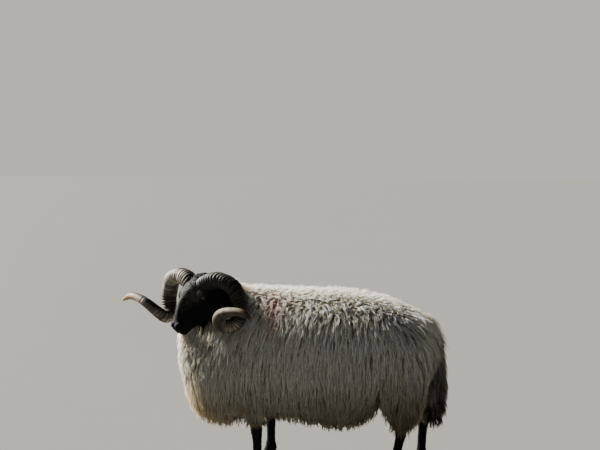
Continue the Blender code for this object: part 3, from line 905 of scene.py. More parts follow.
@dataclass
class Skin:
    """One closed skin that stands for every node of flesh, with its folds and lids."""

    head: HeadBearing
    markings: Markings
    voxel: float = 0.004
    overlap: float = 0.0010
    coarse_share: float = 0.16
    fine_around_head: float = 0.18
    refinings: tuple[tuple[bool, float, float], ...] = ((True, 0.040, 0.050), (False, 0.027, 0.026))
    wool_depth: float = 0.028
    tail_depth: float = 0.016
    nape_depth: float = 0.008
    hair_depth: float = 0.0016
    share_of_thickness: float = 0.34
    thinnest: float = 0.0008
    lid_segments: int = 48
    upper_lid: float = 27.0         # half the eye's opening, in degrees from its middle
    lower_lid: float = 23.0
    corner_to_corner: float = 47.0
    # the skin under the wool is darker than the locks: painted shade in the gaps between them
    wool_tone: float = 0.80
    hair_tone: float = 0.75
    # the black hair beside the ears and cheeks is darker than the face's hair: painted shade over the breed's
    # black hair
    nape_shade_tone: float = 0.20
    ear_cup: float = 0.0045
    nose_wrinkle: float = 0.0007
    nose_wrinkle_gap: float = 0.0075

    def joined(self) -> Mesh:
        """Joins the flesh nodes into one closed surface at the outline.

        Returns:
            The surface as a mesh.
        """
        whole = bmesh.new()
        for node in NODE_PARTS:
            form = form_of(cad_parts[node].data)
            bmesh.ops.remove_doubles(form, verts=form.verts, dist=MERGE)
            form.normal_update()
            moves = [vert.normal * self.overlap for vert in form.verts]
            for vert, move in zip(form.verts, moves):
                vert.co += move
            whole.from_mesh(mesh_of("flesh_part", form))
        form = form_of(shaped(mesh_of("flesh", whole), "REMESH", mode="VOXEL", voxel_size=self.voxel))
        bmesh.ops.delete(form, geom=self.loose_faces(form), context="FACES")
        return mesh_of("flesh_shell", form)

    @staticmethod
    def loose_faces(form: BMesh) -> list[BMFace]:
        """Every face that isn't part of the largest closed shell."""
        seen: set[int] = set()
        shells: list[list[BMFace]] = []
        form.faces.index_update()
        for start in form.faces:
            if start.index in seen:
                continue
            seen.add(start.index)
            shell, waiting = [], [start]
            while waiting:
                face = waiting.pop()
                shell.append(face)
                for edge in face.edges:
                    for other in edge.link_faces:
                        if other.index not in seen:
                            seen.add(other.index)
                            waiting.append(other)
            shells.append(shell)
        shells.sort(key=len)
        return [face for shell in shells[:-1] for face in shell]

    @staticmethod
    def parts_at(points: np.ndarray) -> np.ndarray:
        """Which part of the ram each point lies nearest to."""
        tree, owners = tree_of(*NODE_PARTS)
        values = [NODE_PARTS[node].value for node in owners]
        return np.array([values[tree.find_nearest(point)[2]] for point in points.tolist()])

    @staticmethod
    def read(mesh: Mesh) -> tuple[np.ndarray, np.ndarray, np.ndarray]:
        """A mesh's vertex places, vertex normals and edges as arrays."""
        places = np.empty(len(mesh.vertices) * 3)
        mesh.vertices.foreach_get("co", places)
        normals = np.empty(len(mesh.vertices) * 3)
        mesh.vertex_normals.foreach_get("vector", normals)
        edges = np.empty(len(mesh.edges) * 2, dtype=np.int64)
        mesh.edges.foreach_get("vertices", edges)
        return places.reshape(-1, 3), normals.reshape(-1, 3), edges.reshape(-1, 2)

    def refined(self, mesh: Mesh) -> Mesh:
        """Coarsens the wool's skin and refines the head, most of all its eyes and muzzle.

        Args:
            mesh: The joined surface.

        Returns:
            The mesh with the wanted density.
        """
        places, _, _ = self.read(mesh)
        coarse = among(self.parts_at(places), *WOOLLY)
        coarse &= np.linalg.norm(places - np.array(self.head.centre), axis=1) > self.fine_around_head
        form = form_of(shaped(mesh, "DECIMATE", np.flatnonzero(coarse).tolist(),
                              decimate_type="COLLAPSE", ratio=self.coarse_share))
        eyes = [middle("eye_left"), middle("eye_right")]
        muzzle = self.head.place(0.196, -0.05, 0.0)
        for whole_face, near_eye, near_muzzle in self.refinings:
            form.verts.ensure_lookup_table()
            own = self.head.read(np.array([vert.co for vert in form.verts]))
            along, out, side = own.T
            boxed = (along > -0.075) & (along < 0.23) & (np.abs(side) < 0.17) & (out > -0.19)
            facial = (along > -0.055) & ~((along < 0.0) & (out < -0.15))
            chosen = set()
            for number in np.flatnonzero(boxed).tolist():
                vert = form.verts[number]
                close = min((vert.co - eye).length for eye in eyes) < near_eye
                close = close or (vert.co - muzzle).length < near_muzzle
                if close or (whole_face and facial[number]):
                    chosen.add(vert)
            edges = [edge for edge in form.edges if edge.verts[0] in chosen and edge.verts[1] in chosen]
            bmesh.ops.subdivide_edges(form, edges=edges, cuts=1, use_grid_fill=True)
        bmesh.ops.triangulate(form, faces=[face for face in form.faces if len(face.verts) > 4])
        return mesh_of("fine_flesh", form)

    @staticmethod
    def with_nape(places: np.ndarray, parts: np.ndarray) -> np.ndarray:
        """Gives the skin beside the ears and the cheeks to the black hair."""
        close = beside(places, left_ear=0.038, right_ear=0.034, head=0.026)
        return np.where(close & among(parts, Part.NECK, Part.TRUNK), Part.NAPE.value, parts)

    def thickness(self, places: np.ndarray, normals: np.ndarray, mesh: Mesh) -> np.ndarray:
        """How far it is through the body under each vertex."""
        start, furthest = 0.002, 0.5
        tree = BVHTree.FromPolygons(places.tolist(), [tuple(face.vertices) for face in mesh.polygons])
        out = np.full(len(places), furthest)
        under = places - normals * start
        for number, (place, inward) in enumerate(zip(under.tolist(), (-normals).tolist())):
            distance = tree.ray_cast(place, inward, furthest)[3]
            if distance is not None:
                out[number] = distance + start
        return out

    def surface(self) -> tuple[Mesh, Surface]:
        """Makes the outline and the skin that lies under it by the coat's depth.

        Returns:
            The skin's mesh and its surface.
        """
        mesh = self.refined(self.joined())
        places, _, edges = self.read(mesh)
        parts = self.with_nape(places, self.parts_at(places))
        short_haired = among(parts, *FACIAL, Part.LOWER_LEG)
        places = relaxed(places, edges, 14, np.ones(len(places)))
        mesh.vertices.foreach_set("co", places.ravel())
        mesh.update()
        _, normals, _ = self.read(mesh)
        depth = np.full(len(places), self.wool_depth)
        depth[parts == Part.TAIL.value] = self.tail_depth
        depth[parts == Part.NAPE.value] = self.nape_depth
        depth[short_haired] = self.hair_depth
        through = self.thickness(places, normals, mesh)
        depth = np.minimum(depth, np.maximum(through * self.share_of_thickness, self.thinnest))
        for _ in range(10):
            depth = np.where(short_haired, depth, averaged(depth, edges))
        inner = places - normals * depth[:, None]
        inner = relaxed(inner, edges, 6, averaged(among(parts, *WOOLLY).astype(float), edges))
        inner = self.sculpted(inner, normals, parts)
        mesh.vertices.foreach_set("co", inner.ravel())
        mesh.update()
        mesh.calc_loop_triangles()
        triangles = np.empty(len(mesh.loop_triangles) * 3, dtype=np.int64)
        mesh.loop_triangles.foreach_get("vertices", triangles)
        return mesh, Surface(places, inner, normals, depth, parts, triangles.reshape(-1, 3))

    def sculpted(self, points: np.ndarray, normals: np.ndarray, parts: np.ndarray) -> np.ndarray:
        """Adds the eye hollows, nostrils, mouth line, tear lines, folds and ear cups.

        Args:
            points: The skin's vertices.
            normals: Their normals.
            parts: Their parts.

        Returns:
            The moved vertices.
        """
        own = self.head.read(points)
        own[:, 2] = np.abs(own[:, 2])
        along, wide = own[:, 0], own[:, 2]
        push = sum(crease.pushes(own) for crease in CREASES.values())
        behind_nose = ease(along, 0.188, 0.176) * ease(along, 0.128, 0.146) * ease(wide, 0.010, 0.022)
        push += self.nose_wrinkle * behind_nose * np.sin(along * 2 * np.pi / self.nose_wrinkle_gap)
        points = points + normals * (push * among(parts, Part.HEAD, Part.EYE))[:, None]
        for eye in (np.array(middle("eye_left")), np.array(middle("eye_right"))):
            away = points - eye
            reach = np.linalg.norm(away, axis=1, keepdims=True)
            socket = eye + away / reach * (EYE_RADIUS - 0.0030)
            points = np.where(reach < EYE_RADIUS + 0.0028, socket, points)
        return self.cupped(points, normals, parts)

    def cupped(self, points: np.ndarray, normals: np.ndarray, parts: np.ndarray) -> np.ndarray:
        """Hollows each ear's forward face between its two edges."""
        ears = parts == Part.EAR.value
        forward = np.array((self.head.ahead - UP * 0.25).normalized())
        for name in ("ear_left", "ear_right"):
            low, high = (np.array(corner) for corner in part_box(name))
            near = ears & np.all((points > low - 0.01) & (points < high + 0.01), axis=1)
            if not near.any():
                continue
            spread = points[near] - points[near].mean(axis=0)
            axes = np.linalg.svd(spread, full_matrices=False)[2]
            along, across = spread @ axes[0], spread @ axes[1]
            half = np.abs(across).max()
            facing = ease(normals[near] @ forward, 0.05, 0.6)
            cup = 1 - np.clip(np.abs(across) / half, 0, 1) ** 2
            cup *= ease(np.abs(along) / np.abs(along).max(), 1.0, 0.6)
            points[near] -= forward * (self.ear_cup * cup * facing)[:, None]
        return points

    def lids(self) -> Mesh:
        """Makes the four lids as two rolled rings over the eyeballs.

        Returns:
            Their mesh.
        """
        whole = bmesh.new()
        # each ring's turn from the gaze in degrees, or past the opening, and its height over the eyeball
        rings = [(86, 0.0, 0.0002), (68, 0.0, 0.0030), (0, 11.0, 0.0034), (0, 3.0, 0.0029),
                 (0, 0.0, 0.0017), (0, 1.5, 0.0006), (60, 0.0, 0.0002), (84, 0.0, -0.0022)]
        for node, side in (("eye_left", 1), ("eye_right", -1)):
            centre, (gaze, slit, high) = middle(node), gaze_axes(self.head, side)
            form = bmesh.new()
            loop = bmesh.ops.create_circle(form, segments=self.lid_segments, radius=EYE_RADIUS)["verts"]
            edges = list(form.edges)
            loops = [loop]
            for _ in rings[1:]:
                edges, fresh = drawn_out(form, edges)
                loops.append(fresh)
            turns = [math.atan2(vert.co.y, vert.co.x) for vert in loop]
            for (fixed, past, rise), ring in zip(rings, loops):
                for vert in ring:
                    turn = min(turns, key=lambda angle: abs(angle - math.atan2(vert.co.y, vert.co.x)))
                    up_down = self.upper_lid if math.sin(turn) > 0 else self.lower_lid
                    opening = 1 / math.hypot(math.cos(turn) / self.corner_to_corner, math.sin(turn) / up_down)
                    lean = math.radians(fixed if fixed else opening + past)
                    across = slit * math.cos(turn) + high * math.sin(turn)
                    vert.co = centre + (gaze * math.cos(lean) + across * math.sin(lean)) * (EYE_RADIUS + rise)
            bmesh.ops.bridge_loops(form, edges=[edge for edge in form.edges if edge.is_boundary])
            bmesh.ops.recalc_face_normals(form, faces=form.faces)
            whole.from_mesh(mesh_of("lid", form))
        return mesh_of("lids", whole)

    def build(self, hair: Material, wool: Material) -> tuple[Object, Surface]:
        """Makes the skin piece.

        Args:
            hair: Finish of the black face and legs.
            wool: Finish of the skin under the wool.

        Returns:
            The piece, and its surface.
        """
        mesh, surface = self.surface()
        mesh = mesh_of("ram_skin", form_of(mesh, self.lids()))
        made = piece("ram_skin", mesh, "black_hair", hair, wool)
        places, _, edges = self.read(mesh)
        lid_places = len(places) - len(surface.parts)
        parts = np.concatenate([surface.parts, np.full(lid_places, Part.HEAD.value)])
        woolly = among(parts, *WOOLLY)
        own = self.head.read(places)
        green = np.where(woolly, self.markings.raddle(places), self.head.greying(own) + 0.03)
        blue = np.where(woolly, self.markings.soil(places), 0.0)
        # darker towards the head and ears: partly the black hair's edge, partly painted shade
        by_hair = beside(places, left_ear=0.080, right_ear=0.080, head=0.055).astype(float)
        for _ in range(4):
            by_hair = averaged(by_hair, edges)
        wool_tone = self.wool_tone * self.markings.tone(places) * (1 - 0.93 * by_hair)
        tone = np.where(woolly, wool_tone, self.hair_tone)
        # the nape's extra darkness is painted shade
        tone = np.where(parts == Part.NAPE.value, self.nape_shade_tone, tone)
        # reach 0.3 gives the skin the darker root colour: painted shade between the locks
        write_marks(mesh, marks_of(tone, green, blue, np.full(len(places), 0.3)))
        along_face = own * np.array([GRAIN_STRETCH, 1.0, 1.0])
        along_leg = places * np.array([1.0, 1.0, GRAIN_STRETCH])
        write_grain(mesh, np.where(among(parts, *FACIAL)[:, None], along_face, along_leg))
        first = np.array([face.vertices[0] for face in mesh.polygons])
        mesh.polygons.foreach_set("material_index", woolly.astype(np.int32)[first])
        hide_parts(*[node for node, part in NODE_PARTS.items() if part is not Part.EYE])
        return made, surface


def gaze_axes(head: HeadBearing, side: int) -> tuple[Vector, Vector, Vector]:
    """An eye's axes: the way it looks, along its level slit, and up.

    Args:
        head: The head's axes.
        side: 1 for the left eye, -1 for the right.

    Returns:
        Three directions at right angles.
    """
    gaze = (head.left * side * 0.90 + head.ahead * 0.34 + UP * 0.10).normalized()
    slit = UP.cross(gaze).normalized() * side
    slit = (slit * 0.90 - head.face * 0.43).normalized()
    slit = (slit - gaze * slit.dot(gaze)).normalized()
    high = gaze.cross(slit).normalized()
    return gaze, slit, high if high.z > 0 else -high


# ---------------------------------------------------------------- strands
@dataclass
class Unwrap:
    """Lays a stretch of the skin flat: along its length, and round it."""

    centre: Vector
    axis: Vector
    start: float
    end: float

    def flat(self, points: np.ndarray) -> np.ndarray:
        """Places of points on the unwrap, as rows of two numbers from 0 to 1."""
        axis = np.array(self.axis.normalized())
        side = np.array(self.axis.orthogonal().normalized())
        up = np.cross(axis, side)
        from_centre = points - np.array(self.centre)
        along = (from_centre @ axis - self.start) / (self.end - self.start)
        round_it = np.arctan2(from_centre @ side, from_centre @ up) / (2 * np.pi) + 0.5
        return np.stack([0.01 + 0.98 * np.clip(along, 0, 1), 0.01 + 0.98 * round_it], axis=1)


@dataclass
class Strands:
    """Many closed, tapering, three-sided strands as one mesh."""

    paths: np.ndarray       # (strand, ring, xyz), the last ring is the tip
    normals: np.ndarray     # (strand, ring, xyz), away from the body
    widths: np.ndarray      # (strand, ring), half widths
    tone: np.ndarray
    green: np.ndarray
    blue: np.ndarray
    unwrap: np.ndarray      # (strand, 2), each root's place on the skin's unwrap
    flatness: float = 0.75
    patch: float = 0.003            # a strand's size on the unwrap
    strand_step: float = 0.0137     # how far apart the grain of two strands, corners and rings is
    corner_step: float = 0.002
    ring_step: float = 0.0035
    ring_stretch: float = 0.2

    def chosen(self, which: np.ndarray, unwrap: Unwrap) -> "Strands":
        """Some of the strands, laid on the unwrap of their stretch of skin."""
        rows = (self.paths, self.normals, self.widths, self.tone, self.green, self.blue)
        return Strands(*(values[which] for values in rows), unwrap.flat(self.paths[which, 0]), self.flatness)

    def corners(self) -> np.ndarray:
        """Places of the three corners of each ring and then of the tip, strand by strand."""
        along = unit(np.gradient(self.paths, axis=1))
        across = unit(np.cross(self.normals, along))
        rise = unit(np.cross(along, across))
        body, side, up = self.paths[:, :-1], across[:, :-1], rise[:, :-1]
        wide = self.widths[:, :-1, None]
        high = wide * self.flatness
        ring = np.stack([body + side * wide - up * high * 0.5, body + up * high,
                         body - side * wide - up * high * 0.5], axis=2)
        count, rings = ring.shape[:2]
        return np.concatenate([ring.reshape(count, rings * 3, 3), self.paths[:, -1:]], axis=1)

    @staticmethod
    def pattern(rings: int) -> tuple[list[list[int]], list[list[tuple[float, float]]]]:
        """One strand's faces by vertex number, and where each face's corners lie on its patch."""
        faces, patches = [], []
        for ring in range(rings - 1):
            for side in range(3):
                other = (side + 1) % 3
                faces.append([ring * 3 + side, ring * 3 + other, ring * 3 + 3 + other, ring * 3 + 3 + side])
                patches.append([(side, ring), (side + 1, ring), (side + 1, ring + 1), (side, ring + 1)])
        last = (rings - 1) * 3
        for side in range(3):
            faces.append([last + side, last + (side + 1) % 3, last + 3])
            patches.append([(side, rings - 1), (side + 1, rings - 1), (side + 0.5, rings)])
        return faces + [[2, 1, 0]], patches + [[(2, 0), (1, 0.2), (0, 0)]]

    def mesh(self, name: str) -> Mesh:
        """Builds the mesh with its marks, grain and unwrap.

        Args:
            name: The mesh's name.

        Returns:
            The mesh.
        """
        places = self.corners()
        count, each = places.shape[:2]
        rings = (each - 1) // 3
        faces, patches = self.pattern(rings)
        sizes = np.array([len(face) for face in faces])
        corner = np.concatenate(faces)
        spot = (np.concatenate(patches) / np.array([3.0, rings]) - 0.5) * self.patch
        mesh = bpy.data.meshes.new(name)
        mesh.vertices.add(count * each)
        mesh.vertices.foreach_set("co", places.astype(np.float32).ravel())
        mesh.loops.add(count * len(corner))
        corners = np.arange(count)[:, None] * each + corner
        mesh.loops.foreach_set("vertex_index", corners.astype(np.int32).ravel())
        mesh.polygons.add(count * len(faces))
        starts = np.concatenate([[0], np.cumsum(np.tile(sizes, count))[:-1]])
        mesh.polygons.foreach_set("loop_start", starts.astype(np.int32))
        mesh.update(calc_edges=True)
        layer = mesh.uv_layers.new(name="OFBake")
        layer.data.foreach_set("uv", (self.unwrap[:, None] + spot).astype(np.float32).ravel())
        layer.active_render = True
        reach = np.concatenate([np.repeat(np.arange(rings) / rings, 3), [1.0]])
        spread = [np.repeat(values[:, None], each, axis=1) for values in (self.tone, self.green, self.blue)]
        write_marks(mesh, marks_of(*spread, np.tile(reach, (count, 1))).reshape(-1, 4))
        length = np.concatenate([np.repeat(np.arange(rings) * self.ring_step, 3), [rings * self.ring_step]])
        turn = np.concatenate([np.tile(np.arange(3) * self.corner_step, rings), [self.corner_step]])
        apart = np.repeat(np.arange(count)[:, None] * self.strand_step, each, axis=1)
        own = [apart, np.tile(turn, (count, 1)), np.tile(length * self.ring_stretch, (count, 1))]
        write_grain(mesh, np.stack(own, axis=-1).reshape(-1, 3))
        return mesh


# ---------------------------------------------------------------- fleece
@dataclass
class Fleece:
    """Long hanging wool in pointed locks, shorter and tousled along the back."""

    surface: Surface
    markings: Markings
    locks: int = 42000
    in_clump: int = 4
    rings: int = 6
    clump_width: float = 0.0065
    clump_gap: float = 0.0078
    guide_steps: int = 9
    longest: float = 1.15
    half_widths: tuple[float, float] = (0.0010, 0.0022)     # of the finest and of the coarsest lock
    taper: tuple[tuple[float, ...], tuple[float, ...]] = ((0, 0.2, 0.6, 0.8, 1), (0.75, 1.0, 0.75, 0.42, 0.0))
    tail_tone: float = 0.36
    # locks beside the head are darkened: painted shade of the head and horns, with some dirt
    shade_and_dirt_by_head: tuple[float, float] = (0.45, 0.95)
    between_legs: float = 0.06      # how far back the forelegs' wool ends and the hind legs' begins
    seed: int = 11
    bands: int = 5

    def lie(self, own: np.ndarray, normals: np.ndarray, tails: np.ndarray) -> np.ndarray:
        """Which way the wool lies at each place.

        Args:
            own: Places in the ram's own coordinates.
            normals: The outline's normals there.
            tails: Which of them are on the tail.

        Returns:
            One direction for each place.
        """
        down = np.zeros_like(own)
        down[:, 2] = -1.0
        comb = down.copy()
        top = ease(normals[:, 2], 0.45, 0.92)
        aft = 0.22 * top + 0.14 * ease(own[:, 0], 0.28, 0.46) * ease(own[:, 2], 0.40, 0.60)
        comb[:, 0] += np.where(tails, 0.0, aft)
        comb[:, 0] += 0.30 * ease(own[:, 0], -0.36, -0.50) * ease(own[:, 2], 0.50, 0.40)
        comb[:, 1] += np.clip(own[:, 1] / 0.055, -1, 1) * 0.9 * top
        comb[:, 0] += 0.9 * bell(own[:, 1], 0.030) * top
        hang = ease(-normals[:, 2], 0.10, 0.65)
        flat = comb - normals * np.sum(comb * normals, axis=1, keepdims=True)
        return unit(unit(flat) * (1 - hang[:, None]) + down * hang[:, None])

    def lengths(self, own: np.ndarray, normals: np.ndarray, parts: np.ndarray) -> np.ndarray:
        """How long the wool is at each place."""
        length = np.full(len(own), 0.108)
        length -= 0.052 * ease(own[:, 2], 0.60, 0.735)
        length -= 0.040 * ease(-normals[:, 2], 0.35, 0.85)
        length[parts == Part.NECK.value] = 0.070
        length = np.where(parts == Part.TAIL.value, 0.032 + 0.046 * ease(own[:, 2], 0.32, 0.46), length)
        low_leg = (parts == Part.UPPER_LEG.value) * ease(own[:, 2], 0.38, 0.27)
        return length - (0.045 + 0.024 * (own[:, 0] < self.between_legs)) * low_leg

    def rooted(self, rng: np.random.Generator) -> tuple[np.ndarray, ...]:
        """Chooses where the clumps root, closer together on the back and by the head.

        Args:
            rng: Source of chance.

        Returns:
            Each clump's place on the outline, the normal and the wool's depth there, and its part.
        """
        surface = self.surface
        nape = surface.parts == Part.NAPE.value
        nape &= ~beside(surface.outer, left_ear=0.022, right_ear=0.019, head=0.013)
        woolly = among(surface.parts, *WOOLLY) | nape
        high = ease(surface.outer[:, 2], 0.62, 0.72)
        weight = woolly * (1.0 + high + 0.8 * among(surface.parts, Part.TAIL))
        weight *= 1 - 0.45 * ease(-surface.normals[:, 2], 0.5, 0.9)
        weight *= 1 + 1.8 * beside(surface.outer, left_ear=0.070, right_ear=0.070, head=0.045)
        wanted = self.locks // self.in_clump
        tried = wanted * 5
        scattered = surface.scatter(rng, tried, weight)
        kept = thinned(scattered[0], self.clump_gap, wanted)
        if len(kept) < wanted:
            rest = np.setdiff1d(np.arange(tried), kept)
            kept = np.concatenate([kept, rest[:wanted - len(kept)]])
        _, outs, normals, depths, nearest = (values[kept] for values in scattered)
        parts = surface.parts[nearest]
        return outs, normals, depths, np.where(parts == Part.NAPE.value, Part.NECK.value, parts)

    def guides(self, rng: np.random.Generator) -> dict[str, np.ndarray]:
        """Grows one guide for each clump of locks.

        Args:
            rng: Source of chance.

        Returns:
            The guides' paths, normals, lengths, parts and how tousled they are.
        """
        zero = np.array(self.markings.zero)
        here, facing, depths, parts = self.rooted(rng)
        count, height = len(here), here[:, 2]
        tails = parts == Part.TAIL.value
        lengths = self.lengths(here - zero, facing, parts) * rng.uniform(0.86, 1.16, count)
        stride = lengths * self.longest / (self.guide_steps - 1)
        tousle = 0.12 + 0.50 * ease(height, 0.66, 0.745) + 0.10 * ease(here[:, 0] - zero[0], 0.30, 0.42)
        swirl = rng.normal(0.0, 1.0, count) * np.where(tails, 0.10, tousle)
        sink = rng.uniform(0.0, 0.006, count) - 0.006 * ease(height, 0.70, 0.76) * rng.random(count)
        low = ease(height, 0.40, 0.30)
        allow = 0.006 + 0.014 * ease(height, 0.52, 0.40) * (1 - low) + 0.024 * low * rng.random(count) ** 2
        over = np.zeros(count)
        paths, facings = [], []
        for step in range(self.guide_steps):
            share = step / (self.guide_steps - 1) * self.longest
            under = depths * np.clip(1 - share, 0, 1) ** 1.7
            paths.append(here - facing * (under + sink * min(share * 2, 1.0) - over)[:, None])
            facings.append(facing)
            lie = self.lie(here - zero, facing, tails)
            side = np.cross(facing, lie)
            turn = swirl * (0.4 + 0.6 * share)
            lie = unit(lie * np.cos(turn)[:, None] + side * np.sin(turn)[:, None])
            moved = here + facing * over[:, None] + lie * stride[:, None]
            places, near = self.surface.nearest(moved)
            new_facing = unit(0.5 * facing + self.surface.normals[near])
            over = np.clip(np.sum((moved - places) * new_facing, axis=1), 0.0, allow)
            depths = 0.5 * depths + 0.5 * self.surface.depth[near]
            here, facing = places, new_facing
        grown = {"paths": np.stack(paths, axis=1), "normals": np.stack(facings, axis=1), "lengths": lengths,
                 "parts": parts, "tousle": tousle}
        over_head = beside(grown["paths"].reshape(-1, 3), left_ear=0.014, right_ear=0.012, head=0.002)
        free = ~over_head.reshape(count, -1).any(axis=1)
        return {name: values[free] for name, values in grown.items()}

    def locks_of(self, rng: np.random.Generator, guides: dict[str, np.ndarray]) -> tuple[Strands, np.ndarray]:
        """Grows the locks of every clump round its guide.

        Args:
            rng: Source of chance.
            guides: The clumps' guides.

        Returns:
            The locks, and each one's part.
        """
        clumps = len(guides["paths"])
        owner = np.repeat(np.arange(clumps), self.in_clump)
        count = len(owner)
        share = np.linspace(0, 1, self.rings)[None, :] * rng.uniform(0.80, 1.0, count)[:, None]
        at = np.clip(share / self.longest * rng.uniform(0.95, 1.15, count)[:, None], 0, 1)
        at *= self.guide_steps - 1
        low = np.minimum(at.astype(int), self.guide_steps - 2)
        part = (at - low)[:, :, None]
        rows = owner[:, None]
        paths, normals = (guides[name][rows, low] * (1 - part) + guides[name][rows, low + 1] * part
                          for name in ("paths", "normals"))
        normals = unit(normals)
        along = unit(np.gradient(paths, axis=1))
        across = unit(np.cross(normals, along))
        angle, spread = rng.uniform(0, 2 * np.pi, count), self.clump_width * np.sqrt(rng.random(count))
        gather = np.repeat(rng.uniform(0.0, 0.65, clumps), self.in_clump)[:, None]
        tousle = guides["tousle"][owner]
        shrink = 1 - gather * share ** 1.2
        paths = paths + across * ((spread * np.cos(angle))[:, None] * shrink)[:, :, None]
        paths = paths + along[:, :1] * ((spread * np.sin(angle))[:, None] * (1 - 0.6 * share))[:, :, None]
        lift = rng.uniform(-0.0055, 0.0020, count) + 0.006 * tousle * rng.random(count)
        lift += self.markings.rump(paths[:, 0]) * rng.uniform(0.012, 0.034, count)
        lift += 0.012 * ease(paths[:, -1, 2], 0.36, 0.27) * rng.random(count) ** 2
        paths = paths + normals * (lift[:, None] * (0.3 + 0.7 * share))[:, :, None]
        wave_length = rng.uniform(0.038, 0.062, count) * (1 - 0.3 * np.clip(tousle, 0, 1))
        phase = np.repeat(rng.uniform(0, 2 * np.pi, clumps), self.in_clump) + rng.normal(0, 0.8, count)
        wave = 2 * np.pi * share * guides["lengths"][owner][:, None] / wave_length[:, None] + phase[:, None]
        swing = rng.uniform(0.0008, 0.0028, count) * (1 + 0.9 * np.clip(tousle, 0, 1))
        paths = paths + across * (np.sin(wave) * swing[:, None] * share ** 0.5)[:, :, None]
        paths = paths + normals * (np.cos(wave) * 0.5 * swing[:, None] * share)[:, :, None]
        profile = np.interp(np.linspace(0, 1, self.rings), *self.taper)
        fine = 1 - 0.42 * ease(paths[:, 0, 2], 0.62, 0.72)
        widths = (rng.uniform(*self.half_widths, count) * fine)[:, None] * profile
        kinds = guides["parts"][owner]
        return Strands(paths, normals, widths, *self.colours(rng, paths, kinds), np.zeros((count, 2))), kinds

    def colours(self, rng: np.random.Generator, paths: np.ndarray,
                kinds: np.ndarray) -> tuple[np.ndarray, ...]:
        """Each lock's tone, and its shares of paint and of soil, from its path and its part."""
        count, roots, whole = len(paths), paths[:, 0], paths.mean(axis=1)
        tone = np.repeat(rng.normal(1.0, 0.09, count // self.in_clump), self.in_clump)
        tone = np.clip(tone * rng.normal(1.0, 0.20, count), 0.45, 1.35) * self.markings.tone(roots)
        tone = np.where(kinds == Part.TAIL.value, tone * self.tail_tone, tone)
        # darker beside the head: painted shade, with some dirt
        by_head = beside(roots, left_ear=0.060, right_ear=0.050, head=0.050)
        tone = np.where(by_head, tone * rng.uniform(*self.shade_and_dirt_by_head, count), tone)
        raddle = self.markings.raddle(whole) * rng.uniform(0.6, 1.15, count)
        soil = self.markings.soil(whole) * rng.uniform(0.5, 1.4, count)
        return tone, np.clip(raddle, 0, 1), np.clip(soil, 0, 1)

    def groups(self, strands: Strands, kinds: np.ndarray) -> list[tuple[str, np.ndarray, Unwrap]]:
        """Divides the locks into pieces, each with the unwrap of its stretch of skin."""
        zero = self.markings.zero
        own = strands.paths[:, 0] - np.array(zero)
        trunk = np.flatnonzero(kinds == Part.TRUNK.value)
        order = trunk[np.argsort(own[trunk, 0], kind="stable")]
        made = []
        for number, band in enumerate(np.array_split(order, self.bands)):
            front, back = own[band, 0].min(), own[band, 0].max()
            span = Unwrap(zero + Vector((0, 0, 0.50)), Vector((1, 0, 0)), front, back)
            made.append((f"fleece_band_{number + 1}", band, span))
        neck = Unwrap(zero + Vector((-0.34, -0.03, 0.65)), Vector((-0.5, -0.2, 0.8)), -0.16, 0.16)
        made.append(("fleece_neck", np.flatnonzero(kinds == Part.NECK.value), neck))
        tail = Unwrap(zero + Vector((0.455, 0, 0.44)), UP, -0.22, 0.20)
        made.append(("fleece_tail", np.flatnonzero(kinds == Part.TAIL.value), tail))
        for name, sign in (("fore", -1), ("hind", 1)):
            on_these = own[:, 0] * sign > self.between_legs * sign
            legs = np.flatnonzero((kinds == Part.UPPER_LEG.value) & on_these)
            centre = zero + Vector((own[legs, 0].mean(), 0, 0))
            made.append((f"fleece_{name}legs", legs, Unwrap(centre, UP, 0.2, 0.56)))
        return made

    def build(self, finish: Material) -> list[Object]:
        """Makes every piece of the fleece.

        Args:
            finish: The wool's finish.

        Returns:
            The pieces.
        """
        rng = np.random.default_rng(self.seed)
        strands, kinds = self.locks_of(rng, self.guides(rng))
        return [piece(name, strands.chosen(which, unwrap).mesh(name), "fleece", finish)
                for name, which, unwrap in self.groups(strands, kinds)]


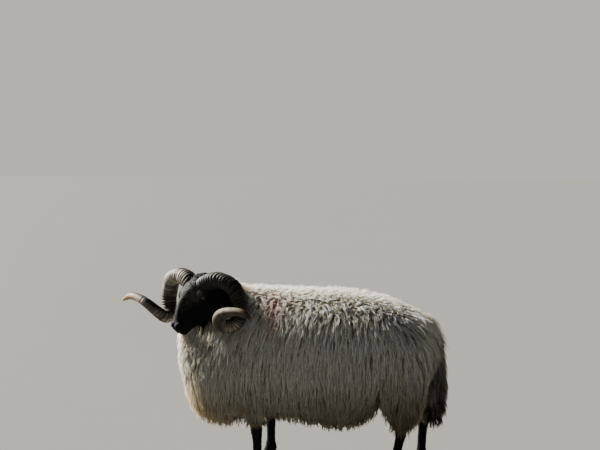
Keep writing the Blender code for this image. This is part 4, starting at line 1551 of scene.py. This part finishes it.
# ---------------------------------------------------------------- short hair
@dataclass
class ShortHair:
    """Small tufts over the black face, ears and legs, longer on the poll and fetlocks."""

    surface: Surface
    head: HeadBearing
    zero: Vector
    face_tufts: int = 15000
    leg_tufts: int = 13500
    flatness: float = 0.6
    half_width: float = 0.080       # as a share of the tuft's length
    steps: tuple[float, ...] = (0.0, 0.5, 1.0)
    taper: tuple[float, ...] = (0.8, 1.0, 0.0)
    sink: float = 0.0005
    seed: int = 5

    def tufts(self, kinds: tuple[Part, ...], count: int, unwrap: Unwrap, rng: np.random.Generator,
              lie: Callable[[np.ndarray, np.ndarray], tuple[np.ndarray, ...]]) -> Strands:
        """Grows tufts over some parts.

        Args:
            kinds: Which parts carry them.
            count: How many.
            unwrap: The skin's unwrap there.
            rng: Source of chance.
            lie: Gives direction, length, lift and greyness for roots and normals.

        Returns:
            The tufts.
        """
        weight = among(self.surface.parts, *kinds).astype(float)
        for node in ("eye_left", "eye_right"):
            away = np.linalg.norm(self.surface.inner - np.array(middle(node)), axis=1)
            weight *= ease(away, 0.0185, 0.0215)
        roots, _, normals, _, _ = self.surface.scatter(rng, count, weight)
        way, length, lift, grey = lie(roots, normals)
        way = way - normals * np.sum(way * normals, axis=1, keepdims=True)
        way = unit(unit(way) + rng.normal(0, 0.16, way.shape))
        length = length * rng.uniform(0.75, 1.25, count)
        steps = np.array(self.steps)
        rise = lift[:, None] * steps ** 1.3 - 0.0006 * (1 - steps)
        paths = (roots[:, None] + way[:, None] * (length[:, None] * steps)[:, :, None]
                 + normals[:, None] * (length[:, None] * rise)[:, :, None] - normals[:, None] * self.sink)
        widths = (length * self.half_width)[:, None] * np.array(self.taper)
        tone = np.clip(rng.normal(1.0, 0.28, count), 0.4, 1.9)
        grey = np.clip(grey * rng.uniform(0.3, 1.5, count), 0, 1)
        facings = np.repeat(normals[:, None], len(steps), axis=1)
        return Strands(paths, facings, widths, tone, grey, np.zeros(count), unwrap.flat(roots), self.flatness)

    def face_lie(self, roots: np.ndarray, normals: np.ndarray) -> tuple[np.ndarray, ...]:
        """Direction, length, lift and greyness of the hair on the face and ears."""
        own = self.head.read(roots)
        wide = np.abs(own[:, 2])
        way = -np.array(self.head.face) + np.array(self.head.left) * (np.sign(own[:, 2]) * 0.35)[:, None]
        way = way - np.array(self.head.brow) * (0.5 * ease(wide, 0.02, 0.05))[:, None]
        ear = ease(wide, 0.060, 0.072)[:, None] * ease(own[:, 1], -0.03, -0.055)[:, None]
        way = way * (1 - ear) + np.array(self.head.left) * np.sign(own[:, 2])[:, None] * ear * 1.5
        poll = ease(own[:, 0], 0.030, -0.015) * ease(own[:, 1], -0.085, -0.030)
        muzzle = ease(own[:, 0], 0.130, 0.190)
        nape = ease(own[:, 0], -0.030, -0.058)
        way = way - np.array(UP) * (0.8 * nape)[:, None]
        length = 0.0070 + 0.006 * poll - 0.0038 * muzzle + 0.001 * ear[:, 0] + 0.008 * nape
        lift = 0.05 + 0.16 * poll + 0.10 * nape
        grey = self.head.greying(own) + 0.02
        return way, length, lift, grey

    def leg_lie(self, roots: np.ndarray, normals: np.ndarray) -> tuple[np.ndarray, ...]:
        """Direction, length, lift and greyness of the hair on the legs."""
        way = np.tile(np.array([0.12, 0.0, -1.0]), (len(roots), 1))
        fringe = bell(roots[:, 2] - 0.085, 0.018) * ease(normals[:, 0], 0.2, 0.7)
        length = 0.0068 + 0.009 * fringe - 0.002 * ease(roots[:, 2], 0.060, 0.045)
        return way, length, 0.10 + 0.25 * fringe, np.full(len(roots), 0.04)

    def build(self, finish: Material) -> list[Object]:
        """Makes the face's and the legs' tufts.

        Args:
            finish: The black hair's finish.

        Returns:
            The two pieces.
        """
        rng = np.random.default_rng(self.seed)
        face = Unwrap(self.head.place(0.07, -0.08, 0.0), self.head.face, -0.16, 0.15)
        legs = Unwrap(self.zero + Vector((0.1, 0, 0)), UP, 0.03, 0.36)
        on_face = self.tufts((Part.HEAD, Part.EAR, Part.NAPE), self.face_tufts, face, rng, self.face_lie)
        on_legs = self.tufts((Part.LOWER_LEG,), self.leg_tufts, legs, rng, self.leg_lie)
        return [piece(name, tufts.mesh(name), "black_hair", finish)
                for name, tufts in (("face_hair", on_face), ("leg_hair", on_legs))]


# ---------------------------------------------------------------- horns
@dataclass(frozen=True)
class WearAndPaintedLight:
    """How one horn is paled and darkened: some paling with wear along it, painted light on its top, and
    painted shade inside its coil, near its tip and at its root.
    """

    dull: float = 0.09              # paleness of its sides and underside
    top_light: float = 1.90            # painted light on its top
    top: tuple[float, float] = (0.60, 0.98)     # how far up a place faces, for no painted top light and for all of it
    wear: float = 0.34              # how much further down the painted top light reaches, further along the horn
    outer_half_shade: float = 0.0              # painted shade on the outer half
    late_shade: float = 0.30        # painted shade near the tip

    def marks(self, share: float, upward: np.ndarray, outer: np.ndarray, crest: np.ndarray) -> np.ndarray:
        """Works out the marks of one ring.

        Args:
            share: How far along the horn the ring lies, from 0 to 1.
            upward: How far up each place faces.
            outer: How far out of the coil each place faces.
            crest: How near each place is to the crest of a ridge.

        Returns:
            The ring's marks.
        """
        worn, tip = ease(share, 0.30, 0.55), ease(share, 0.55, 0.85)
        start, whole = self.top
        # paler further along with wear, and painted light on the faces that look up
        bleach_and_light = self.dull + 0.20 * worn + self.top_light * ease(upward, start - self.wear * worn, whole)
        # darker at the root, where it meets the head: painted shade
        bleach_and_light = bleach_and_light * (0.22 + 0.78 * ease(share, 0.015, 0.085))
        # painted shade on the inner faces of the coil
        bleach_and_light = bleach_and_light * (1 - 0.45 * ease(share, 0.30, 0.50) * (1 - outer))
        # painted shade over the outer half
        bleach_and_light = bleach_and_light * (1 - self.outer_half_shade * ease(share, 0.44, 0.66))
        # painted shade near the tip
        bleach_and_light = bleach_and_light * (1 - self.late_shade * ease(share, 0.50, 0.66))
        # pale crests over dark grooves, partly painted highlight and shade, and paler towards the tip
        paleness = np.clip(crest ** 1.4 * (1 - 0.75 * tip) + 0.70 * tip, 0, 1)
        # cream on the coil's outer faces is painted light; the cream of the tip itself is its own
        cream = ease(share, 0.40, 0.62) * (0.12 + 0.88 * outer) * (1 - self.outer_half_shade)
        cream = np.maximum(cream, ease(share, 0.70, 0.90))
        return marks_of(bleach_and_light, paleness, cream, np.full(len(crest), share))


@dataclass
class Horn:
    """One ridged horn that coils back, down and forward, and flares at its tip.

    Each knot of its course has three places from the root, outward, forward and up, and two half sizes.
    """

    head: HeadBearing
    side: int
    wear_and_light: WearAndPaintedLight = WearAndPaintedLight()
    root_spread: float = 0.056
    knots: tuple[tuple[float, ...], ...] = (
        (-0.034, -0.012, -0.038, 0.031, 0.028), (-0.002, -0.016, -0.014, 0.036, 0.031),
        (0.050, -0.024, 0.000, 0.036, 0.029), (0.114, -0.037, -0.024, 0.033, 0.028),
        (0.145, -0.047, -0.084, 0.031, 0.027), (0.143, -0.044, -0.130, 0.029, 0.026),
        (0.133, -0.033, -0.157, 0.028, 0.025), (0.118, -0.013, -0.167, 0.0265, 0.0240),
        (0.111, 0.016, -0.162, 0.0255, 0.0225), (0.122, 0.046, -0.137, 0.0235, 0.0210),
        (0.155, 0.063, -0.110, 0.0215, 0.0190), (0.200, 0.063, -0.096, 0.0185, 0.0165),
        (0.254, 0.060, -0.093, 0.0145, 0.0130), (0.301, 0.060, -0.112, 0.0060, 0.0055))
    segments: int = 36
    rings_between: int = 44
    wrinkle_gap: float = 0.0108
    wrinkle_depth: float = 0.085
    most_wrinkles: int = 160
    yearly: tuple[float, ...] = (0.13, 0.30, 0.47, 0.63, 0.77)      # where the growth stopped each winter
    yearly_width: float = 0.007
    yearly_depth: float = 0.045
    squareness: float = 2.3
    coil_share: float = 2 / 3

    def course(self) -> tuple[np.ndarray, np.ndarray]:
        """The horn's centre line and its half sizes at even steps.

        Returns:
            Places, and rows of (half depth, half thickness).
        """
        knots = np.array(self.knots)
        rows = []
        for number in range(len(knots) - 1):
            before, start = knots[max(number - 1, 0)], knots[number]
            end, after = knots[number + 1], knots[min(number + 2, len(knots) - 1)]
            bend = 2 * before - 5 * start + 4 * end - after
            turn = 3 * start - before - 3 * end + after
            for step in range(self.rings_between):
                t = step / self.rings_between
                rows.append(0.5 * (2 * start + (end - before) * t + bend * t ** 2 + turn * t ** 3))
        rows.append(knots[-1])
        rows = np.array(rows)
        root = np.array(self.head.centre + self.head.left * self.side * self.root_spread)
        axes = np.array([self.head.left * self.side, self.head.ahead, UP])
        return root + rows[:, :3] @ axes, rows[:, 3:5]

    def wrinkles(self) -> tuple[np.ndarray, np.ndarray]:
        """Where each uneven ridge starts along the horn, and how high it stands."""
        rng = np.random.default_rng(40 + self.side)
        gaps = rng.uniform(0.72, 1.30, self.most_wrinkles) * self.wrinkle_gap
        return np.cumsum(gaps) - 2 * self.wrinkle_gap, rng.uniform(0.55, 1.05, self.most_wrinkles)

    def swell(self, lengths: np.ndarray, total: float,
              ridges: tuple[np.ndarray, np.ndarray]) -> tuple[np.ndarray, np.ndarray]:
        """How far ridges and yearly rings stand out along the horn.

        Args:
            lengths: Distance from the root of each vertex.
            total: The horn's whole length.
            ridges: Where each ridge starts, and how high it stands.

        Returns:
            The swell as a share of the thickness, and how near each vertex is to a crest.
        """
        starts, heights = ridges
        share = lengths / total
        number = np.clip(np.searchsorted(starts, lengths, side="right"), 1, len(starts) - 1)
        part = np.clip((lengths - starts[number - 1]) / (starts[number] - starts[number - 1]), 0, 1)
        crest = np.sin(np.pi * part) ** 0.8 * heights[number]
        yearly = np.max([bell(share - place, self.yearly_width) for place in self.yearly], axis=0)
        fade = 0.07 + 0.93 * ease(share, 0.84, 0.52) + 0.35 * ease(share, 0.42, 0.10)
        swell = self.wrinkle_depth * fade * (crest - 0.5) - self.yearly_depth * yearly
        return swell, crest * (1 - 0.7 * yearly)

    def build(self, finish: Material) -> Object:
        """Makes the horn by drawing one ring along its course.

        Args:
            finish: The horn's finish.

        Returns:
            The piece.
        """
        word = "left" if self.side > 0 else "right"
        places, halves = self.course()
        lengths = np.concatenate([[0], np.cumsum(np.linalg.norm(np.diff(places, axis=0), axis=1))])
        total, ridges = lengths[-1], self.wrinkles()
        alongs = unit(np.gradient(places, axis=0))
        coil = places[:int(len(places) * self.coil_share)].mean(axis=0)
        form = bmesh.new()
        ring = bmesh.ops.create_circle(form, segments=self.segments, radius=1.0, cap_ends=False)["verts"]
        ring = sorted(ring, key=lambda vert: math.atan2(vert.co.y, vert.co.x))
        angles = np.array([math.atan2(vert.co.y, vert.co.x) for vert in ring])
        cos, sin, power = np.cos(angles), np.sin(angles), self.squareness
        shape = (np.abs(cos) ** power + np.abs(sin) ** power) ** (-1 / power)
        edges = list(form.edges)
        deep = np.array(self.head.ahead)
        marks, grain = [], []
        for length, place, half, along in zip(lengths, places, halves, alongs):
            if marks:
                edges, fresh = drawn_out(form, edges)
                ring = self.matched(ring, set(fresh))
            deep = unit(deep - along * (along @ deep))
            thick = np.cross(along, deep)
            skew = 0.0028 * np.cos(angles + 0.6) + 0.0012 * np.sin(angles * 3 + length * 23)
            swell, crest = self.swell(np.clip(length + skew, 0, total), total, ridges)
            knurl = 0.006 * np.sin(angles * 9 + length * 60)
            sizes = shape * (1 + swell * (0.8 + 0.2 * np.cos(angles * 2)) + knurl)
            spots = place + np.outer(cos * sizes * half[0], deep) + np.outer(sin * sizes * half[1], thick)
            for vert, spot in zip(ring, spots):
                vert.co = spot
            facing = unit(np.outer(cos / half[0], deep) + np.outer(sin / half[1], thick))
            # how far out of the coil a place faces, for painted light on the rim and painted shade inside
            outer = ease(facing @ unit(place - coil), -0.35, 0.45)
            marks += list(self.wear_and_light.marks(length / total, facing[:, 2], outer, crest))
            grain += [(length, c * half[0], s * half[1]) for c, s in zip(cos, sin)]
        bmesh.ops.contextual_create(form, geom=edges)
        bmesh.ops.contextual_create(form, geom=[edge for edge in form.edges if edge.is_boundary])
        bmesh.ops.recalc_face_normals(form, faces=form.faces)
        form.verts.index_update()
        mesh = mesh_of("ridged_horn_" + word, form)
        write_marks(mesh, np.array(marks))
        write_grain(mesh, np.array(grain))
        made = piece("ridged_horn_" + word, mesh, "horn", finish)
        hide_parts("horn_" + word)
        return made

    @staticmethod
    def matched(old: list[BMVert], fresh: set[BMVert]) -> list[BMVert]:
        """Puts freshly drawn vertices in the order of the ring they came from."""
        reached = ([edge.other_vert(vert) for edge in vert.link_edges] for vert in old)
        return [next(other for other in others if other in fresh) for others in reached]


# ---------------------------------------------------------------- eyes and hooves
@dataclass
class Eyeball:
    """A wet ball with a raised cornea over its iris."""

    head: HeadBearing
    side: int
    radius: float = EYE_RADIUS
    cornea: float = 0.0010
    iris_edge: float = 52.0         # in degrees from the middle
    pupil: tuple[float, float] = (0.46, 0.200)      # half its width and height, as shares of the radius
    pupil_squareness: float = 3.0

    def build(self, finish: Material) -> Object:
        """Makes the eye.

        Args:
            finish: The eye's finish.

        Returns:
            The piece.
        """
        word = "left" if self.side > 0 else "right"
        centre, (gaze, slit, high) = middle("eye_" + word), gaze_axes(self.head, self.side)
        (wide, tall), power = self.pupil, self.pupil_squareness
        form = bmesh.new()
        bmesh.ops.create_uvsphere(form, u_segments=40, v_segments=28, radius=self.radius)
        marks, grain = [], []
        for vert in form.verts:
            across, up, out = vert.co / self.radius
            bulge = self.cornea * max(0.0, (out - 0.70) / 0.30) ** 0.8
            vert.co = vert.co * (1 + bulge / self.radius)
            reach = math.acos(max(-1.0, min(1.0, out))) / math.radians(self.iris_edge)
            slot = (abs(across) / wide) ** power + (abs(up) / tall) ** power
            slot = min(slot ** (1 / power), 2.0) * (1.0 if out > 0 else 9.0)
            marks.append((0.5, min(reach, 1.0), slot, 0.0))
            turn = math.atan2(up, across)
            grain.append((math.cos(turn) * 2.0, math.sin(turn) * 2.0, reach))
        turned = Matrix((slit, high, gaze)).transposed()
        if turned.determinant() < 0:
            turned = Matrix((-slit, high, gaze)).transposed()
        bmesh.ops.transform(form, matrix=Matrix.Translation(centre) @ turned.to_4x4(), verts=form.verts)
        mesh = mesh_of("eyeball_" + word, form)
        write_marks(mesh, np.array(marks))
        write_grain(mesh, np.array(grain))
        made = piece("eyeball_" + word, mesh, "eye", finish)
        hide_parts("eye_" + word)
        return made


@dataclass
class Foot:
    """Two claws with a sharp sole edge, and the two dew claws behind the fetlock."""

    leg: str
    dew_size: Triple = (0.0085, 0.0060, 0.0110)
    dew_height: float = 0.074
    dew_spread: float = 0.0120
    dew_lean: float = -0.5
    flat_angle: float = 0.02        # faces that meet at less than this are one
    sole_height: float = 0.0015
    sole_sharpness: float = 0.85

    def build(self, finish: Material) -> Object:
        """Makes the foot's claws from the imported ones.

        Args:
            finish: The claws' finish.

        Returns:
            The piece.
        """
        names = [self.leg.replace("leg", "hoof") + "_" + word for word in ("outer", "inner")]
        form = form_of(*(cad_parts[name].data for name in names))
        bmesh.ops.remove_doubles(form, verts=form.verts, dist=MERGE)
        flat = [edge for edge in form.edges
                if len(edge.link_faces) == 2 and edge.calc_face_angle(0.0) < self.flat_angle]
        bmesh.ops.dissolve_edges(form, edges=flat, use_verts=False)
        crease = form.edges.layers.float.new("crease_edge")
        for edge in form.edges:
            if max(vert.co.z for vert in edge.verts) < self.sole_height:
                edge[crease] = self.sole_sharpness
        form = form_of(shaped(mesh_of(self.leg + "_claws", form), "SUBSURF", levels=2, render_levels=2))
        lows, highs = zip(*(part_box(name) for name in names))
        middle_y = (min(low[1] for low in lows) + max(high[1] for high in highs)) / 2
        heel = self.heel(middle_y)
        lean, size = Matrix.Rotation(self.dew_lean, 4, "Y"), Matrix.Diagonal((*self.dew_size, 1.0))
        for side in (-1, 1):
            dew = bmesh.ops.create_uvsphere(form, u_segments=16, v_segments=10, radius=1.0)["verts"]
            place = Vector((heel - 0.001, middle_y + side * self.dew_spread, self.dew_height))
            bmesh.ops.transform(form, matrix=Matrix.Translation(place) @ lean @ size, verts=dew)
        made = piece(self.leg.replace("leg", "foot"), mesh_of(self.leg + "_foot", form), "hoof", finish)
        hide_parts(*names)
        return made

    def heel(self, middle_y: float) -> float:
        """How far back the leg reaches at the height of the dew claws."""
        tree, _ = tree_of(self.leg + "_lower")
        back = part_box(self.leg + "_lower")[1][0]
        place = tree.ray_cast(Vector((back + 0.05, middle_y, self.dew_height)), Vector((-1, 0, 0)))[0]
        return place.x if place is not None else back


# ---------------------------------------------------------------- studio
@dataclass
class Studio:
    """The floor, the lights and the camera.

    Each way a light comes from is given to the right of, away from and above the camera.
    """

    zero: Vector
    lens: float = 66.0
    distance: float = 4.25
    height: float = 1.35
    turn: float = math.radians(10.0)
    sideways: float = 13.0 / 1100.0         # how far the ram stands from the middle, for each metre away
    dip: float = math.atan(90.0 / 1100.0)
    front_way: Triple = (0.25, -1.0, 0.90)
    front_distance: float = 5.5
    front_size: float = 3.2
    front_watts: float = 6.5
    front_tint: Triple = (0.95, 0.97, 1.0)
    key_way: Triple = (-0.78, 0.56, 0.53)
    key_strength: float = 22.5
    key_spread: float = math.radians(14.0)
    key_tint: Triple = (1.0, 0.965, 0.89)
    air: Triple = (0.86, 0.91, 1.00)
    air_strength: float = 0.061
    backdrop: Triple = (0.618, 0.602, 0.556)

    def turned(self, way: Triple) -> Vector:
        """Turns a direction as the camera sees it into one of the frame."""
        right = Vector((math.cos(self.turn), math.sin(self.turn), 0.0))
        away = Vector((-math.sin(self.turn), math.cos(self.turn), 0.0))
        return (right * way[0] + away * way[1] + UP * way[2]).normalized()

    @staticmethod
    def face(holder: Object, way: Vector) -> None:
        """Turns a light or the camera to look one way."""
        holder.rotation_euler = way.to_track_quat("-Z", "Y").to_euler()

    def build(self, effects: Effects) -> None:
        """Sets up the floor, the lights, the air and the camera.

        Args:
            effects: The shared node groups.
        """
        form = bmesh.new()
        bmesh.ops.create_grid(form, x_segments=8, y_segments=8, size=30.0)
        floor = placed("studio_floor", mesh_of("studio_floor", form))
        floor.data.materials.append(FloorFinish("pale_floor", roughness=0.9, specular=0.03).build(effects))
        self.light()
        self.surround()
        self.watch()

    def light(self) -> None:
        """Hangs the soft front light and the low sun."""
        front = bpy.data.lights.new("front_light", "AREA")
        front.shape = "DISK"
        front.size = self.front_size
        front.energy = self.front_watts
        front.color = self.front_tint
        holder = placed("front_light", front)
        way = self.turned(self.front_way)
        holder.location = self.zero + UP * 0.45 + way * self.front_distance
        self.face(holder, -way)
        key = bpy.data.lights.new("key_light", "SUN")
        key.energy = self.key_strength
        key.angle = self.key_spread
        key.color = self.key_tint
        self.face(placed("key_light", key), -self.turned(self.key_way))

    def surround(self) -> None:
        """Sets the light of the air, and the plain backdrop the camera sees."""
        world = bpy.data.worlds.new("studio_air")
        world.use_nodes = True
        w = Wiring(world.node_tree)
        air = world.node_tree.nodes["Background"]
        air.inputs["Color"].default_value = (*self.air, 1.0)
        air.inputs["Strength"].default_value = self.air_strength
        seen = w.add("ShaderNodeBackground")
        seen.inputs["Color"].default_value = (*self.backdrop, 1.0)
        both = w.add("ShaderNodeMixShader")
        w.feed(both.inputs[0], w.add("ShaderNodeLightPath").outputs["Is Camera Ray"])
        w.feed(both.inputs[1], air.outputs[0])
        w.feed(both.inputs[2], seen.outputs[0])
        w.feed(world.node_tree.nodes["World Output"].inputs["Surface"], both.outputs[0])
        bpy.context.scene.world = world

    def watch(self) -> None:
        """Stands the camera beside the ram."""
        camera = bpy.data.cameras.new("studio_camera")
        camera.lens = self.lens
        camera.sensor_width = 36.0
        camera.clip_end = 200.0
        holder = placed("studio_camera", camera)
        right, away = self.turned((1, 0, 0)), self.turned((0, 1, 0))
        holder.location = self.zero + UP * self.height - (away + right * self.sideways) * self.distance
        self.face(holder, away * math.cos(self.dip) - UP * math.sin(self.dip))
        bpy.context.scene.camera = holder


def main() -> None:
    """Builds the ram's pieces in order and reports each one."""
    logging.basicConfig(level=logging.INFO, format="%(message)s")
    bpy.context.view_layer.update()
    effects = Effects()
    zero = own_zero()
    head = HeadBearing.from_eyes()
    markings = Markings(zero)
    hair = HairFinish("black_hair_coat", roughness=0.70, specular=0.08, sheen=0.01,
                      sheen_tint=(0.5, 0.7, 1.0)).build(effects)
    wool = WoolFinish("hill_wool", roughness=0.92, specular=0.15, sheen=0.25, sheen_tint=(1.0, 0.97, 0.90),
                      glow=0.8).build(effects)
    # the skin between the locks, darker as painted shade
    under = WoolFinish("wool_roots", roughness=0.95, specular=0.10).build(effects)
    Studio(zero).build(effects)
    skin, surface = Skin(head, markings).build(hair, under)
    pieces = [skin]
    pieces += Fleece(surface, markings).build(wool)
    pieces += ShortHair(surface, head, zero).build(hair)
    horn = HornFinish("ridged_horn_finish", roughness=0.56, specular=0.26).build(effects)
    pieces.append(Horn(head, 1).build(horn))
    # the far horn is paler all over and on more of its faces, and darker on its outer half: painted light and
    # shade
    far_wear_and_light = WearAndPaintedLight(dull=0.36, top_light=2.30, top=(0.00, 0.70), wear=-0.50, outer_half_shade=0.62, late_shade=0.0)
    pieces.append(Horn(head, -1, far_wear_and_light).build(horn))
    eye = EyeFinish("wet_eye", roughness=0.16, specular=0.40, coat=0.40).build(effects)
    pieces += [Eyeball(head, side).build(eye) for side in (1, -1)]
    claw = HoofFinish("claw_horn", roughness=0.45, specular=0.35).build(effects)
    pieces += [Foot(leg).build(claw) for leg in LEGS]
    for made in pieces:
        LOG.info("%s: %d vertices, %d faces", made.name, len(made.data.vertices), len(made.data.polygons))


if __name__ == "__main__":
    main()
